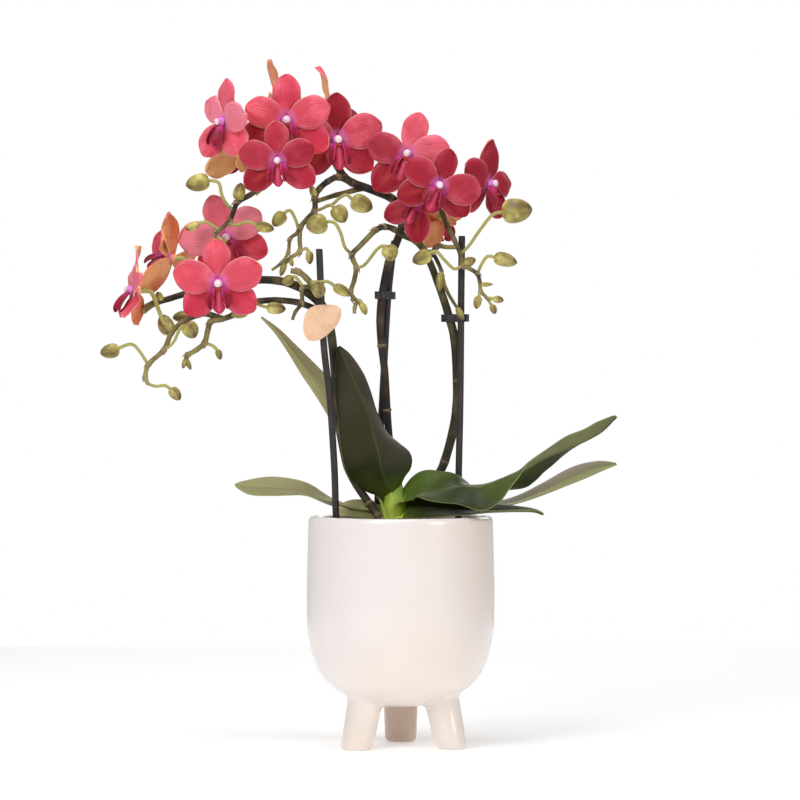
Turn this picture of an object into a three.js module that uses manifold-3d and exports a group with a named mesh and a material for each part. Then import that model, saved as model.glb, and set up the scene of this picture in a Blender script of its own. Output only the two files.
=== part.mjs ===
// Potted moth orchid: three flower spikes with stakes, seven leaves, bark, and a glazed pot on three feet.
// Millimetres, +Z up, -Y towards the side that the flowers face. The pieces are placed from the pot's axis on
// the table. At the end the whole moves, so that the origin is on the table in the middle of the plant's box.
import * as THREE from "three";
import { mergeVertices } from "three/addons/utils/BufferGeometryUtils.js";
import Module from "manifold-3d";

const wasm = await Module();
wasm.setup();

// Driving dimensions. The pot takes a 90 mm grow pot, and an open bloom is about 48 mm across.
const GAP = 0.3; // air between pieces that touch
const POT_HEIGHT = 129;
const POT_RIM_RADIUS = 51.6;
const POT_BELLY_RADIUS = 52.5;
const POT_WALL = 5;
const POT_FLOOR = 6.4;
const FOOT_HEIGHT = 24;
const FOOT_CIRCLE = 31.2; // through the middles of the feet, on the table
const FOOT_LEAN = 7.5; // how far a foot runs outwards from its root
const FOOT_RADIUS = 8.9;
const GROW_POT_RADIUS = 43.5;
const GROW_POT_BASE_RADIUS = 32;
const GROW_POT_HEIGHT = 84;
const GROW_POT_WALL = 1;
const BARK_LEVEL = 125;
const CHIPS = 12;
const STAKE_RADIUS = 1.75;
const STEM_RADIUS = 2.2;
const BLOOM_REACH = 24; // from a bloom's middle to the end of a petal
const PETAL_THICKNESS = 0.8;
const LEAF_THICKNESS = 1.3;
const CLIP_HEIGHT = 3.4;
const POT_SIDES = 28;

// Heights that follow from them.
const POT_UNDERSIDE = FOOT_HEIGHT - 1.4;
const GROW_POT_FOOT = POT_UNDERSIDE + POT_FLOOR + 8.6;

const LOOKS = {
  pot: { color: 0xe9dfcf, roughness: 0.22, metalness: 0 },
  growPot: { color: 0xdfe3e2, roughness: 0.25, metalness: 0, transparent: true, opacity: 0.5 },
  bark: { color: 0x6b3f2a, roughness: 0.95, metalness: 0 },
  crown: { color: 0x9cab4e, roughness: 0.55, metalness: 0 },
  leaf: { color: 0x4f6b34, roughness: 0.45, metalness: 0 },
  stem: { color: 0x5d5b33, roughness: 0.6, metalness: 0 },
  petals: { color: 0xd8546a, roughness: 0.6, metalness: 0 },
  lip: { color: 0x8e1737, roughness: 0.5, metalness: 0 },
  stake: { color: 0x241d1a, roughness: 0.5, metalness: 0 },
  clip: { color: 0x3a2c24, roughness: 0.45, metalness: 0 },
  tag: { color: 0xc9a394, roughness: 0.9, metalness: 0 },
};

const vector = (p) => new THREE.Vector3(...p);

// A closed geometry as a solid, with shared corners merged and slivers of no width dropped.
function solid(geometry) {
  const bare = geometry.index ? geometry.toNonIndexed() : geometry.clone();
  bare.deleteAttribute("normal");
  bare.deleteAttribute("uv");
  const merged = mergeVertices(bare, 1e-4);
  const corners = merged.index.array;
  const kept = [];
  for (let i = 0; i < corners.length; i += 3) {
    const [a, b, c] = [corners[i], corners[i + 1], corners[i + 2]];
    if (a !== b && b !== c && c !== a) kept.push(a, b, c);
  }
  return new wasm.Manifold(
    new wasm.Mesh({
      numProp: 3,
      vertProperties: merged.attributes.position.array,
      triVerts: new Uint32Array(kept),
    }),
  );
}

const fuse = (solids) => solids.reduce((whole, next) => whole.add(next));

function meshOf(name, body, look) {
  const { numProp, vertProperties, triVerts } = body.getMesh();
  const count = vertProperties.length / numProp;
  const positions = new Float32Array(3 * count);
  for (let i = 0; i < count; i += 1) {
    positions.set(vertProperties.subarray(i * numProp, i * numProp + 3), 3 * i);
  }
  const geometry = new THREE.BufferGeometry();
  geometry.setAttribute("position", new THREE.BufferAttribute(positions, 3));
  geometry.setIndex(new THREE.BufferAttribute(triVerts, 1));
  geometry.computeVertexNormals();
  const mesh = new THREE.Mesh(geometry, new THREE.MeshStandardMaterial(LOOKS[look]));
  mesh.name = name;
  return mesh;
}

// A turned piece about the Z axis, from a closed outline of [radius, height] points.
function turned(outline, sides) {
  const points = outline.map(([radius, height]) => new THREE.Vector2(radius, height));
  return solid(new THREE.LatheGeometry(points, sides).rotateX(Math.PI / 2));
}

// A smooth line through a few [radius, height] points, for the stretches of an outline that are curved.
function smooth(points, count) {
  const curve = new THREE.SplineCurve(points.map(([x, y]) => new THREE.Vector2(x, y)));
  return curve.getPoints(count).map((p) => [p.x, p.y]);
}

// A round shoot with a ring of corners at each of its points, tapered to its tip and closed at both ends.
function shoot(points, rootRadius, tipRadius, sides) {
  const centres = points.map(vector);
  const last = centres.length - 1;
  let normal = new THREE.Vector3(0.9, -0.3, 0.1);
  const frames = centres.map((centre, k) => {
    const tangent = centres[Math.min(k + 1, last)].clone().sub(centres[Math.max(k - 1, 0)]).normalize();
    normal = normal.clone().addScaledVector(tangent, -normal.dot(tangent)).normalize();
    return { centre, normal, binormal: tangent.clone().cross(normal) };
  });
  const geometry = new THREE.CylinderGeometry(1, 1, 1, sides, last);
  const position = geometry.attributes.position;
  for (let i = 0; i < position.count; i += 1) {
    const share = position.getY(i) + 0.5;
    const frame = frames[Math.round(share * last)];
    const radius = THREE.MathUtils.lerp(rootRadius, tipRadius, share);
    const place = frame.centre
      .clone()
      .addScaledVector(frame.normal, position.getX(i) * radius)
      .addScaledVector(frame.binormal, -position.getZ(i) * radius);
    position.setXYZ(i, place.x, place.y, place.z);
  }
  return solid(geometry);
}

// A closed bud, widest a third of the way from its base.
function bud(base, tip, width) {
  const from = vector(base);
  const axis = vector(tip).sub(from);
  const turn = new THREE.Quaternion().setFromUnitVectors(
    new THREE.Vector3(0, 1, 0),
    axis.clone().normalize(),
  );
  const geometry = width > 5 ? new THREE.SphereGeometry(1, 5, 4) : new THREE.SphereGeometry(1, 4, 3);
  const position = geometry.attributes.position;
  for (let i = 0; i < position.count; i += 1) {
    const up = position.getY(i);
    const swell = (width / 2) * (1 - 0.22 * up);
    const place = new THREE.Vector3(position.getX(i) * swell, 0, position.getZ(i) * swell)
      .applyQuaternion(turn)
      .add(from)
      .addScaledVector(axis, (up + 1) / 2);
    position.setXYZ(i, place.x, place.y, place.z);
  }
  return solid(geometry);
}

// A closed blade over a grid of points, rows along it and columns across it. Its upper side is where
// (across x along) points, and both sides are split into the same triangles.
function blade(grid, thickness) {
  const rows = grid.length;
  const columns = grid[0].length;
  const corner = (i, j) => i * columns + j;
  const under = rows * columns;
  const upper = [];
  const lower = [];
  grid.forEach((row, i) => {
    row.forEach((point, j) => {
      const across = row[Math.min(j + 1, columns - 1)].clone().sub(row[Math.max(j - 1, 0)]);
      const along = grid[Math.min(i + 1, rows - 1)][j].clone().sub(grid[Math.max(i - 1, 0)][j]);
      const half = across.cross(along).normalize().multiplyScalar(thickness / 2);
      upper.push(...point.clone().add(half).toArray());
      lower.push(...point.clone().sub(half).toArray());
    });
  });
  const faces = [];
  const four = (a, b, c, d) => faces.push(a, b, c, a, c, d);
  for (let i = 0; i < rows - 1; i += 1) {
    for (let j = 0; j < columns - 1; j += 1) {
      const [a, b, c, d] = [corner(i, j), corner(i, j + 1), corner(i + 1, j + 1), corner(i + 1, j)];
      faces.push(a, b, c, a, c, d);
      faces.push(under + a, under + c, under + b, under + a, under + d, under + c);
    }
    const [left, leftNext] = [corner(i, 0), corner(i + 1, 0)];
    four(left, leftNext, under + leftNext, under + left);
    const [right, rightNext] = [corner(i, columns - 1), corner(i + 1, columns - 1)];
    four(right, under + right, under + rightNext, rightNext);
  }
  for (let j = 0; j < columns - 1; j += 1) {
    const [root, rootNext] = [corner(0, j), corner(0, j + 1)];
    four(root, under + root, under + rootNext, rootNext);
    const [end, endNext] = [corner(rows - 1, j), corner(rows - 1, j + 1)];
    four(end, endNext, under + endNext, under + end);
  }
  const geometry = new THREE.BufferGeometry();
  geometry.setAttribute("position", new THREE.Float32BufferAttribute([...upper, ...lower], 3));
  geometry.setIndex(faces);
  return solid(geometry);
}

// Pot: a thrown bowl with a soft rim, and three flat-ended feet set into its underside.
function potBody() {
  const outside = smooth(
    [
      [0, POT_UNDERSIDE],
      [20, POT_UNDERSIDE + 2],
      [33.5, 30.2],
      [42.7, 37.8],
      [48.2, 47.5],
      [51.6, 62],
      [POT_BELLY_RADIUS, 82],
      [52.2, 105],
      [POT_RIM_RADIUS, POT_HEIGHT - POT_WALL / 2],
    ],
    8,
  );
  const rimMiddle = POT_RIM_RADIUS - POT_WALL / 2;
  const rim = [60, 120].map((degrees) => [
    rimMiddle + (POT_WALL / 2) * Math.cos(THREE.MathUtils.degToRad(degrees)),
    POT_HEIGHT - POT_WALL / 2 + (POT_WALL / 2) * Math.sin(THREE.MathUtils.degToRad(degrees)),
  ]);
  const inside = smooth(
    [
      [POT_RIM_RADIUS - POT_WALL, POT_HEIGHT - POT_WALL / 2],
      [POT_BELLY_RADIUS - POT_WALL, 82],
      [44.5, 52],
      [36, 39.5],
      [20, POT_UNDERSIDE + POT_FLOOR + 1.5],
      [0, POT_UNDERSIDE + POT_FLOOR],
    ],
    5,
  );
  const bowl = turned([...outside, ...rim, ...inside], POT_SIDES);
  const feet = [-142, -24, 90].map((degrees) => {
    const angle = THREE.MathUtils.degToRad(degrees);
    const out = [Math.cos(angle), Math.sin(angle)];
    const geometry = new THREE.CylinderGeometry(FOOT_RADIUS * 1.14, FOOT_RADIUS, 1, 12, 2);
    const position = geometry.attributes.position;
    for (let i = 0; i < position.count; i += 1) {
      const share = position.getY(i) + 0.5;
      // The foot leans out as it goes down, and its lowest edge is eased.
      const ease = share === 0 ? 0.88 : 1;
      const level = share === 0.5 ? 1.8 : share * (FOOT_HEIGHT + 9);
      const lean = FOOT_CIRCLE - (FOOT_LEAN * level) / (FOOT_HEIGHT + 9);
      position.setXYZ(
        i,
        out[0] * lean + position.getX(i) * ease,
        out[1] * lean - position.getZ(i) * ease,
        level,
      );
    }
    return solid(geometry);
  });
  const hollow = turned([...inside.reverse(), [0, POT_HEIGHT]], POT_SIDES);
  return fuse([bowl, ...feet]).subtract(hollow);
}

// Grow pot: a thin clear tapered pot with a drain hole, which stands on the curve of the bowl.
function growPotBody() {
  const top = GROW_POT_FOOT + GROW_POT_HEIGHT;
  return turned(
    [
      [7, GROW_POT_FOOT],
      [GROW_POT_BASE_RADIUS, GROW_POT_FOOT],
      [GROW_POT_RADIUS, top - 4],
      [GROW_POT_RADIUS + 1.2, top - 4],
      [GROW_POT_RADIUS + 1.2, top],
      [GROW_POT_RADIUS + 1.2 - GROW_POT_WALL, top],
      [GROW_POT_BASE_RADIUS - GROW_POT_WALL, GROW_POT_FOOT + GROW_POT_WALL],
      [7, GROW_POT_FOOT + GROW_POT_WALL],
      [7, GROW_POT_FOOT],
    ],
    20,
  );
}

// Stakes: [x, y, z] points up each one. They start deep in the bark.
const STAKES = {
  left: [[-33, -3, 76], [-36, -6, 128], [-37, -8, 156], [-39.5, -10.5, 195], [-43, -12.5, 227],
    [-45.3, -15, 278]],
  middle: [[-17, 27, 76], [-13.5, 25.5, 130], [-11, 21.5, 183], [-9.5, 19, 211], [-7, 16.4, 253.6],
    [-3.5, 14.6, 284]],
  right: [[31.5, 7, 76], [32.4, 6, 127], [32.4, 5.5, 144], [33.4, 4.5, 194], [33.9, 3, 250],
    [34.3, 2, 286]],
};

// Blooms: the middle of each, the way it faces (yaw to the right, nod down, roll anticlockwise, degrees),
// its size against a full bloom, and the spike and points that its stalk comes from.
const BLOOMS = {
  top_left: {
    at: [-98, -12, 349], yaw: -50, nod: 10, roll: -2, size: 0.96, spike: "middle",
    stalk: [[-77.7, -8, 318.3], [-85, -5, 321.5], [-88, -2, 328.4], [-90, -2, 336], [-92, -3, 344]],
  },
  top: {
    at: [-62.3, -16, 353], yaw: 2, nod: 0, roll: 0, size: 1, spike: "middle",
    stalk: [[-56.4, 8, 337.4], [-58.6, 5, 344], [-61, -3, 350]],
  },
  top_front: {
    at: [-68.7, -31, 329.5], yaw: -4, nod: 8, roll: 3, size: 0.88, spike: "middle",
    stalk: [[-70, 2, 332], [-69.5, -8, 331], [-69, -16, 330]],
  },
  top_right: {
    at: [-34.8, -4, 341], yaw: 10, nod: 6, roll: 2, size: 1, spike: "middle",
    stalk: [[-38.5, 5, 329.5], [-37.5, 6, 334]],
  },
  top_back: {
    at: [-70, 25, 363.5], yaw: 255, nod: 12, roll: 0, size: 1, spike: "middle",
    stalk: [[-52, 8, 337.4], [-53.5, 14, 346], [-56, 18, 354]],
  },
  top_far: {
    at: [-36, 27, 361], yaw: 98, nod: -22, roll: 0, size: 1, spike: "middle",
    stalk: [[-41.8, 6, 332.3], [-43, 13, 341], [-44, 19, 349]],
  },
  top_low: {
    at: [-90, 14, 334], yaw: 196, nod: 6, roll: -12, size: 0.95, spike: "middle",
    stalk: [[-76.6, -5, 321.7], [-81, -1, 325], [-85.6, 2, 330]],
  },
  right_top: {
    at: [3.2, -9.5, 332.4], yaw: -10, nod: 4, roll: -8, size: 1, spike: "right",
    stalk: [[9.7, 9, 291.4], [6, 11, 305], [3, 9, 320], [3, 4, 329]],
  },
  right_front: {
    at: [20.9, -24, 313], yaw: 6, nod: 10, roll: -24, size: 0.95, spike: "right",
    stalk: [[19.8, 15, 311], [21.5, 5, 308.5], [22.5, -8, 308]],
  },
  right_side: {
    at: [50.5, 2, 315], yaw: 54, nod: 4, roll: -6, size: 0.96, spike: "right",
    stalk: [[33, 12, 310.8], [39, 10, 312]],
  },
  right_low: {
    at: [8.6, -10.5, 298.5], yaw: -10, nod: 2, roll: -20, size: 0.8, spike: "right",
    stalk: [[9, 8, 289.2], [11, 5, 294], [11, 0, 298]],
  },
  right_back: {
    at: [32.6, 22, 299.3], yaw: 172, nod: 20, roll: -25, size: 0.95, spike: "right",
    stalk: [[25.4, 7, 293.7], [28, 7, 296], [31, 9, 300]],
  },
  left_front: {
    at: [-101, -21, 258.8], yaw: 0, nod: 12, roll: 3, size: 1.02, spike: "left",
    stalk: [[-94, -6, 259.5], [-99, -9, 260.5]],
  },
  left_upper: {
    at: [-97, -1, 285], yaw: 4, nod: 20, roll: 20, size: 1, spike: "left",
    stalk: [[-86.6, -7, 260.6], [-89, 0, 266], [-93, 7, 276], [-96, 9, 284]],
  },
  left_turned: {
    at: [-128, -6, 273.5], yaw: -118, nod: -6, roll: -4, size: 0.98, spike: "left",
    stalk: [[-114, -5, 255], [-114, -7, 262], [-117, -9, 269]],
  },
  left_end: {
    at: [-146, -17, 255], yaw: -80, nod: 0, roll: 6, size: 0.98, spike: "left",
    stalk: [[-129.2, -12, 231.5], [-132.8, -14, 239.4], [-135.5, -15, 246.6], [-137.5, -15.5, 252]],
  },
};

// Petals and sepals: [share of the reach, half width, lift to the front] stations out from the middle.
const DORSAL = {
  reach: 0.98,
  cup: -0.5,
  stations: [[0.07, 1, -0.9], [0.4, 7, -0.6], [0.78, 7.6, 0], [1, 2.6, -0.6]],
};
const LATERAL = {
  reach: 1.06,
  cup: -0.5,
  stations: [[0.07, 1, -0.9], [0.42, 7.4, -1.4], [0.78, 8, -0.9], [1, 2.8, -1.4]],
};
const PETAL = {
  reach: 1,
  cup: -0.9,
  stations: [[0.07, 1.2, 0.8], [0.4, 9, 2], [0.8, 9.6, 1.6], [1, 4, 0.2]],
};
// Where the five stand, in degrees clockwise from the top, seen from the front.
const RING = [
  [DORSAL, 0],
  [LATERAL, 131],
  [LATERAL, -131],
  [PETAL, 75],
  [PETAL, -75],
];
const HUB_BACK = 4;
const HUB_FRONT = 1.4;

// A petal's grid in the bloom's own frame: x to the right, y up, z to the front.
function petalGrid(shape, degrees) {
  const angle = THREE.MathUtils.degToRad(degrees);
  const along = new THREE.Vector3(Math.sin(angle), Math.cos(angle), 0);
  const across = new THREE.Vector3(Math.cos(angle), -Math.sin(angle), 0);
  return shape.stations.map(([share, half, lift]) => {
    const length = share * shape.reach * BLOOM_REACH;
    return [-1, 0, 1].map((side) =>
      new THREE.Vector3(0, 0, lift + shape.cup * side * side)
        .addScaledVector(along, length)
        .addScaledVector(across, side * half),
    );
  });
}

function petalRing() {
  const hub = new THREE.CylinderGeometry(2.8, 1.6, HUB_BACK + HUB_FRONT, 5);
  hub.rotateX(Math.PI / 2);
  hub.translate(0, 0, (HUB_FRONT - HUB_BACK) / 2);
  const blades = RING.map(([shape, degrees]) => blade(petalGrid(shape, degrees), PETAL_THICKNESS));
  return fuse([solid(hub), ...blades]);
}

// Lip and column. The lip is one blade: a claw, two side lobes turned up beside the column, a waist, and the
// middle lobe, which hangs to the front and ends in a point.
function lipBody() {
  const floor = HUB_FRONT + GAP;
  const column = shoot([[0, 0, floor], [0, 0.9, floor + 5.6]], 2, 1.6, 5);
  const lobes = [
    { half: 3.4, y: -1.2, z: floor + 2.2, turnUp: 2.4 },
    { half: 1.6, y: -4.2, z: floor + 4.2, turnUp: 0.4 },
    { half: 3.4, y: -7.4, z: floor + 4.8, turnUp: -0.7 },
    { half: 0.6, y: -11.4, z: floor + 3.2, turnUp: 0 },
  ];
  const lip = blade(
    lobes.map(({ half, y, z, turnUp }) =>
      [-1, 0, 1].map(
        (side) => new THREE.Vector3(side * half, y + 0.8 * turnUp * side * side, z + turnUp * side * side),
      ),
    ),
    0.9,
  );
  return fuse([column, lip]);
}

// A bloom's turned and placed group. Its petals and its lip are two meshes in it.
function bloomGroup(name, { at, yaw, nod, roll, size }, ring, lip) {
  const petals = meshOf(`${name}_petals`, ring, "petals");
  const lipMesh = meshOf(`${name}_lip`, lip, "lip");
  const spun = new THREE.Group();
  spun.rotation.z = THREE.MathUtils.degToRad(roll);
  spun.scale.setScalar(size);
  spun.add(petals, lipMesh);
  const tipped = new THREE.Group();
  tipped.rotation.x = THREE.MathUtils.degToRad(90 + nod);
  tipped.add(spun);
  const placed = new THREE.Group();
  placed.rotation.z = THREE.MathUtils.degToRad(yaw);
  placed.position.set(...at);
  placed.add(tipped);
  placed.updateMatrixWorld(true);
  placed.userData.back = (distance) => spun.localToWorld(new THREE.Vector3(0, 0, -distance / size)).toArray();
  return placed;
}

// Spikes: [root radius, tip radius, points] for each shoot, the stem first, then buds as [base, tip, width],
// with the points of the stalk that ends at the bud's base.
const SPIKES = {
  left: {
    shoots: [
      [STEM_RADIUS, 1.9, [
        [-11, -8, 112], [-11, -8, 124], [-13, -6.5, 129.5], [-17.5, -2, 136], [-24.5, 4, 146],
        [-30, 9, 157],
        [-34, 13, 176], [-36, 12, 194], [-37, 7, 211], [-38.5, 1, 227.6], [-40.7, -3, 240],
        [-44.6, -4, 247.5],
        [-52, -5, 254], [-59, -6, 258], [-68.7, -7, 260.6], [-80, -7, 261], [-92, -6, 259.8],
        [-105.7, -5, 256.7],
        [-120, -5, 253.4], [-129, -6, 250.6], [-135.5, -7, 248.6], [-141.3, -8, 245.7],
      ]],
      [1.8, 1.4, [
        [-42.4, -4, 243], [-49, -4, 245.5], [-58, -5, 248.6], [-69.3, -6, 249.7], [-79.4, -7, 249],
        [-87, -8, 246],
        [-93.6, -9, 241.3], [-100, -9, 239], [-105.7, -9, 237.7], [-107.6, -9, 232.6], [-109.3, -9, 226],
        [-113.8, -9, 222], [-118.3, -9, 219.3], [-119.8, -9, 216.7],
      ]],
      [1.6, 1.2, [
        [-99, -9, 239.3], [-106, -8, 241.5], [-112.4, -8, 241.6], [-122, -10, 237], [-127.8, -12, 231],
        [-131.7, -13, 222], [-140, -14, 214], [-142, -14, 207], [-140.4, -14, 202.7],
      ]],
      [1.8, 1.5, [[-46, -4, 249], [-48.6, -9, 256.7], [-52.5, -11, 261.8], [-56.4, -12, 265],
      [-61.2, -12, 266]]],
      [1.3, 0.9, [[-49, -9, 257], [-54.7, -12, 256.4], [-55, -13, 248.3], [-58.6, -13, 243],
      [-60.3, -13, 238.5]]],
    ],
    buds: [
      [[-156.4, -16, 222.5], [-167, -16, 220], 8.4, [[-140.7, -14, 214], [-145.4, -15, 221.4],
        [-150, -16, 225]]],
      [[-128, -15, 200.4], [-122.6, -15, 194], 6.4, [[-140.7, -14, 203], [-136, -15, 201.6],
        [-131, -15, 202]]],
      [[-119, -17.5, 236.8], [-114.2, -18, 228.4], 9.2, [[-131.4, -13, 222], [-126.4, -15, 226],
        [-122.3, -17, 234]]],
      [[-128.3, -11.5, 231], [-133.4, -8, 241.5], 9.2, []],
      [[-116, -7, 241.2], [-127.5, -4, 240], 6.7, []],
      [[-102, -11, 222], [-100.4, -11, 216.4], 3.9, [[-109.3, -9, 226], [-104.5, -10, 224]]],
      [[-119.8, -9.3, 217], [-121.4, -10, 211.5], 2.8, []],
      [[-119.6, -9, 217], [-117, -8, 210.8], 2.8, []],
      [[-74.6, -9, 245.4], [-64, -9, 244.6], 7, [[-82, -7, 248.6], [-77.7, -9, 246.6]]],
      [[-85, -11, 243.4], [-94.5, -12, 241], 5.6, [[-83.3, -7.5, 248]]],
      [[-133.3, -7.5, 249.8], [-135.8, -10, 254.2], 4.2, []],
      [[-60, -14, 262.4], [-66, -14, 258.3], 5.9, [[-54, -11.8, 256.6], [-58.5, -13.5, 262.4]]],
      [[-46.8, -19, 257.5], [-44.2, -25, 251.5], 8.1, [[-49, -9, 257], [-49.6, -14, 259.6],
        [-48.6, -18, 259.4]]],
      [[-37.2, -14, 257.2], [-28, -14, 252.3], 6.2, [[-48.8, -17, 259.5], [-44, -19, 259.6],
        [-40, -17, 259.6]]],
    ],
  },
  middle: {
    shoots: [
      [STEM_RADIUS - 0.2, 1.7, [
        [1, 18, 112], [1, 18, 122], [-1, 18.5, 132.4], [-4.3, 19, 152], [-6.4, 17.5, 171.6],
        [-7.7, 15.5, 188.4],
        [-9, 12.3, 209.7], [-10.8, 11, 224.8], [-11.6, 11, 238.8], [-10.5, 11.5, 252.8], [-6.8, 10, 271.3],
        [-2, 9.3, 283.6], [1, 9, 293.7], [-0.7, 7, 303.2], [-5.4, 5, 307.4], [-12.7, 3.5, 310.5],
        [-19.4, 2.5, 313],
        [-27, 2, 315.8], [-31.8, 2, 319.2], [-34.8, 3, 324], [-39, 5, 330], [-45.8, 7, 335],
        [-53.6, 8, 337.4],
        [-61.4, 7, 336.8], [-69.3, 3, 332.6], [-74.9, -3, 325], [-77.7, -8, 317.8], [-79.4, -11, 311.6],
        [-85, -13, 307.4], [-90.6, -14, 304], [-92.8, -14, 299.3], [-94.8, -14, 294.2], [-98.4, -14, 290.6],
        [-101.5, -14, 288], [-102.6, -14, 283.9],
      ]],
      [1.8, 1, [
        [-27.8, 1.5, 315.8], [-34.8, -3, 318.6], [-40.7, -6, 316], [-45.2, -8, 311.9], [-47.7, -9, 307],
        [-48, -10, 299.6], [-52.2, -10, 294.8], [-55.7, -10, 290.3], [-56.3, -10, 283.6], [-56.4, -10, 277],
        [-61.4, -10, 273.2], [-64.5, -10, 270],
      ]],
      [1.4, 1.3, [[-19, 3, 312.8], [-27.3, 3.5, 311.3], [-36.2, 0, 308.8], [-46.5, -8, 305]]],
      [1.1, 0.8, [
        [-55.6, -10, 290], [-58, -11, 286.7], [-61.6, -12, 283.6], [-62.6, -12.5, 276.3], [-66, -13, 270.7],
        [-71.8, -13, 266.2],
      ]],
    ],
    buds: [
      [[-47.8, -9, 307.5], [-50, -10.5, 313.5], 4.2, []],
      [[-36.8, -14, 301.5], [-30.8, -14.5, 292.8], 9.5, [[-48.4, -9.8, 299.3], [-44, -12, 300.4],
        [-39.5, -14, 302.4]]],
      [[-27.7, -7, 305.4], [-15.7, -7, 300.7], 10.4, [[-41.5, -13, 301.8], [-38, -10.5, 303],
        [-33.7, -8, 307], [-30, -7, 308.4]]],
      [[-65, -13, 298.3], [-71, -13, 290.8], 7.6, [[-57, -10, 288.6], [-58.2, -12, 293.4],
        [-61.5, -13, 299.4]]],
      [[-51, -12, 277], [-50.6, -12, 269.5], 4.5, [[-56.4, -10, 276.5], [-52.8, -12, 278.4]]],
      [[-64.5, -10, 270.8], [-67, -10, 263], 3.6, []],
      [[-61.8, -10, 273.4], [-60.3, -8, 268.5], 2.8, []],
      [[-90.4, -16, 305], [-88.4, -17, 314.6], 7, []],
      [[-106.5, -15, 316.5], [-119.5, -15.5, 313.3], 10, [[-92.8, -14, 299.5], [-97, -14, 303],
        [-99.5, -15, 308.2], [-101.5, -15, 315]]],
      [[-112.5, -16, 291.6], [-119.6, -16, 289], 5, [[-100.6, -14, 288.6], [-105, -15, 291.2],
        [-108.8, -16, 293]]],
      [[-80.5, -17, 290.8], [-70.3, -17, 288.7], 6.2, [[-96.2, -14, 292.6], [-91.7, -16, 291.2],
        [-85, -17, 293]]],
      [[-102.6, -13.7, 284.4], [-105.8, -13, 278], 3.6, []],
      [[-99, -16, 283], [-98.2, -16, 276.9], 3.6, [[-102.4, -14, 285.5]]],
    ],
  },
  right: {
    shoots: [
      [STEM_RADIUS, 1.8, [
        [10, 20, 112], [10, 20, 122], [10.5, 20, 131], [14, 19.5, 141.4], [21, 18.5, 151.6],
        [24.8, 17.5, 159.3],
        [29.3, 15.5, 175.7], [31.5, 13.5, 189.5], [31.8, 11, 205.2], [30.4, 8.5, 227.6], [27.2, 7, 240.5],
        [24, 6, 251], [20.3, 5, 261.2], [16.9, 4, 270], [13, 3, 278], [8.6, 3, 283],
      ]],
      [1.8, 1, [
        [12.5, 3, 278.6], [8.6, 2, 283], [2, -1, 286], [-3.8, -3, 289.5], [-8.8, -4, 290.8],
        [-13.8, -5, 289],
        [-18.9, -6, 284], [-23, -6.5, 279.7], [-27, -7, 275.5], [-26.4, -7, 271.8], [-24.9, -7, 268],
        [-25.9, -7, 261], [-27.8, -7, 254.8], [-26.4, -7, 251], [-24.5, -7, 249.2], [-25.7, -7, 245.5],
        [-25.8, -7, 242.2],
      ]],
      [1.8, 1.4, [
        [11.2, 3, 280.2], [9, 8, 289.2], [11.4, 13, 299.3], [15.3, 15, 307], [22, 15, 311.6],
        [29, 13, 311.4],
        [36, 9, 310.6],
      ]],
      [1.5, 0.9, [
        [20.9, 15, 311.3], [22.6, 13, 302], [25.9, 7, 293], [30, -0.5, 283.6], [33.4, -3, 275.8],
        [34.5, -3.5, 269.6],
        [38.5, -4, 267.4], [42.7, -4, 264.6], [44.2, -4, 260], [44.7, -4, 255], [47.5, -4, 251.7],
        [49.7, -4, 249],
      ]],
      [1.2, 0.9, [
        [13.5, 3, 278], [18, -2, 275.8], [20.6, -3, 271.3], [22.7, -4, 266.2], [23.8, -4.5, 260.6],
        [25.4, -5, 255.9],
        [28.2, -5.5, 250.6], [31.5, -6, 245.5],
      ]],
      [1.5, 1.2, [[15.6, 3.8, 273], [20.3, 6, 280], [25.9, 2, 279.7], [31.5, -2, 279.5]]],
    ],
    buds: [
      [[-41, -18, 293.4], [-52.5, -19, 290], 11.5, [[-27, -7, 275.5], [-31, -10, 279], [-33.5, -14, 287],
        [-37, -17, 292.5]]],
      [[-7, -16.5, 277.4], [-4.5, -25, 273.5], 9.2, [[-25, -7, 267.8], [-20, -9, 269.5], [-13, -13, 278],
        [-9, -16, 279.6]]],
      [[-21.8, -8, 247.9], [-19.4, -8, 241.5], 4.2, [[-25, -7, 249.6], [-22.6, -8, 249.4]]],
      [[16.6, -9, 275.8], [6.6, -8, 271], 8.4, [[34.3, -3.5, 269.4], [30, -5, 267.2], [24.5, -7, 272],
        [19.6, -9, 277]]],
      [[22.7, -4.4, 265.5], [21.3, -9, 254.5], 4.5, []],
      [[31.4, -6, 245.7], [35, -9, 238.5], 3.6, []],
      [[56.5, -8, 299], [73.5, -8, 299.4], 12.9, [[33.4, -3, 275.8], [38, -5, 280], [44, -7, 288.5],
        [51.5, -8, 297.5]]],
      [[52, -7, 273.6], [65, -7, 270.4], 8.1, [[43, -4, 264.4], [45, -6, 269.5], [48.6, -7, 274.2]]],
      [[44.5, -4, 258.4], [51.5, -5, 258.6], 2.5, []],
      [[44.5, -4.4, 255.4], [42.2, -6, 244.8], 4.5, []],
      [[49.3, -4, 249.4], [52.6, -4, 242], 4, []],
      [[48, -4, 251.2], [57.6, -4, 249.6], 4, []],
      [[34.6, -3, 269.6], [42, 1, 273], 5.6, []],
    ],
  },
};

// A spike with its shoots and buds, and the stalks that run to the backs of its blooms.
function spikeBody(side, blooms) {
  const { shoots, buds } = SPIKES[side];
  const pieces = shoots.map(([root, tip, points], i) => shoot(points, root, tip, i ? 4 : 5));
  for (const [base, tip, width, stalk] of buds) {
    const heart = vector(base).lerp(vector(tip), 0.35).toArray();
    if (stalk.length) pieces.push(shoot([...stalk, heart], 1, 1.2, 3));
    pieces.push(bud(base, tip, width));
  }
  for (const [name, { spike, stalk }] of Object.entries(BLOOMS)) {
    if (spike !== side) continue;
    const back = blooms[name].userData.back;
    pieces.push(shoot([...stalk, back(HUB_BACK + 4), back(HUB_BACK + GAP)], 1.2, 1.5, 3));
  }
  return fuse(pieces);
}

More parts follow.
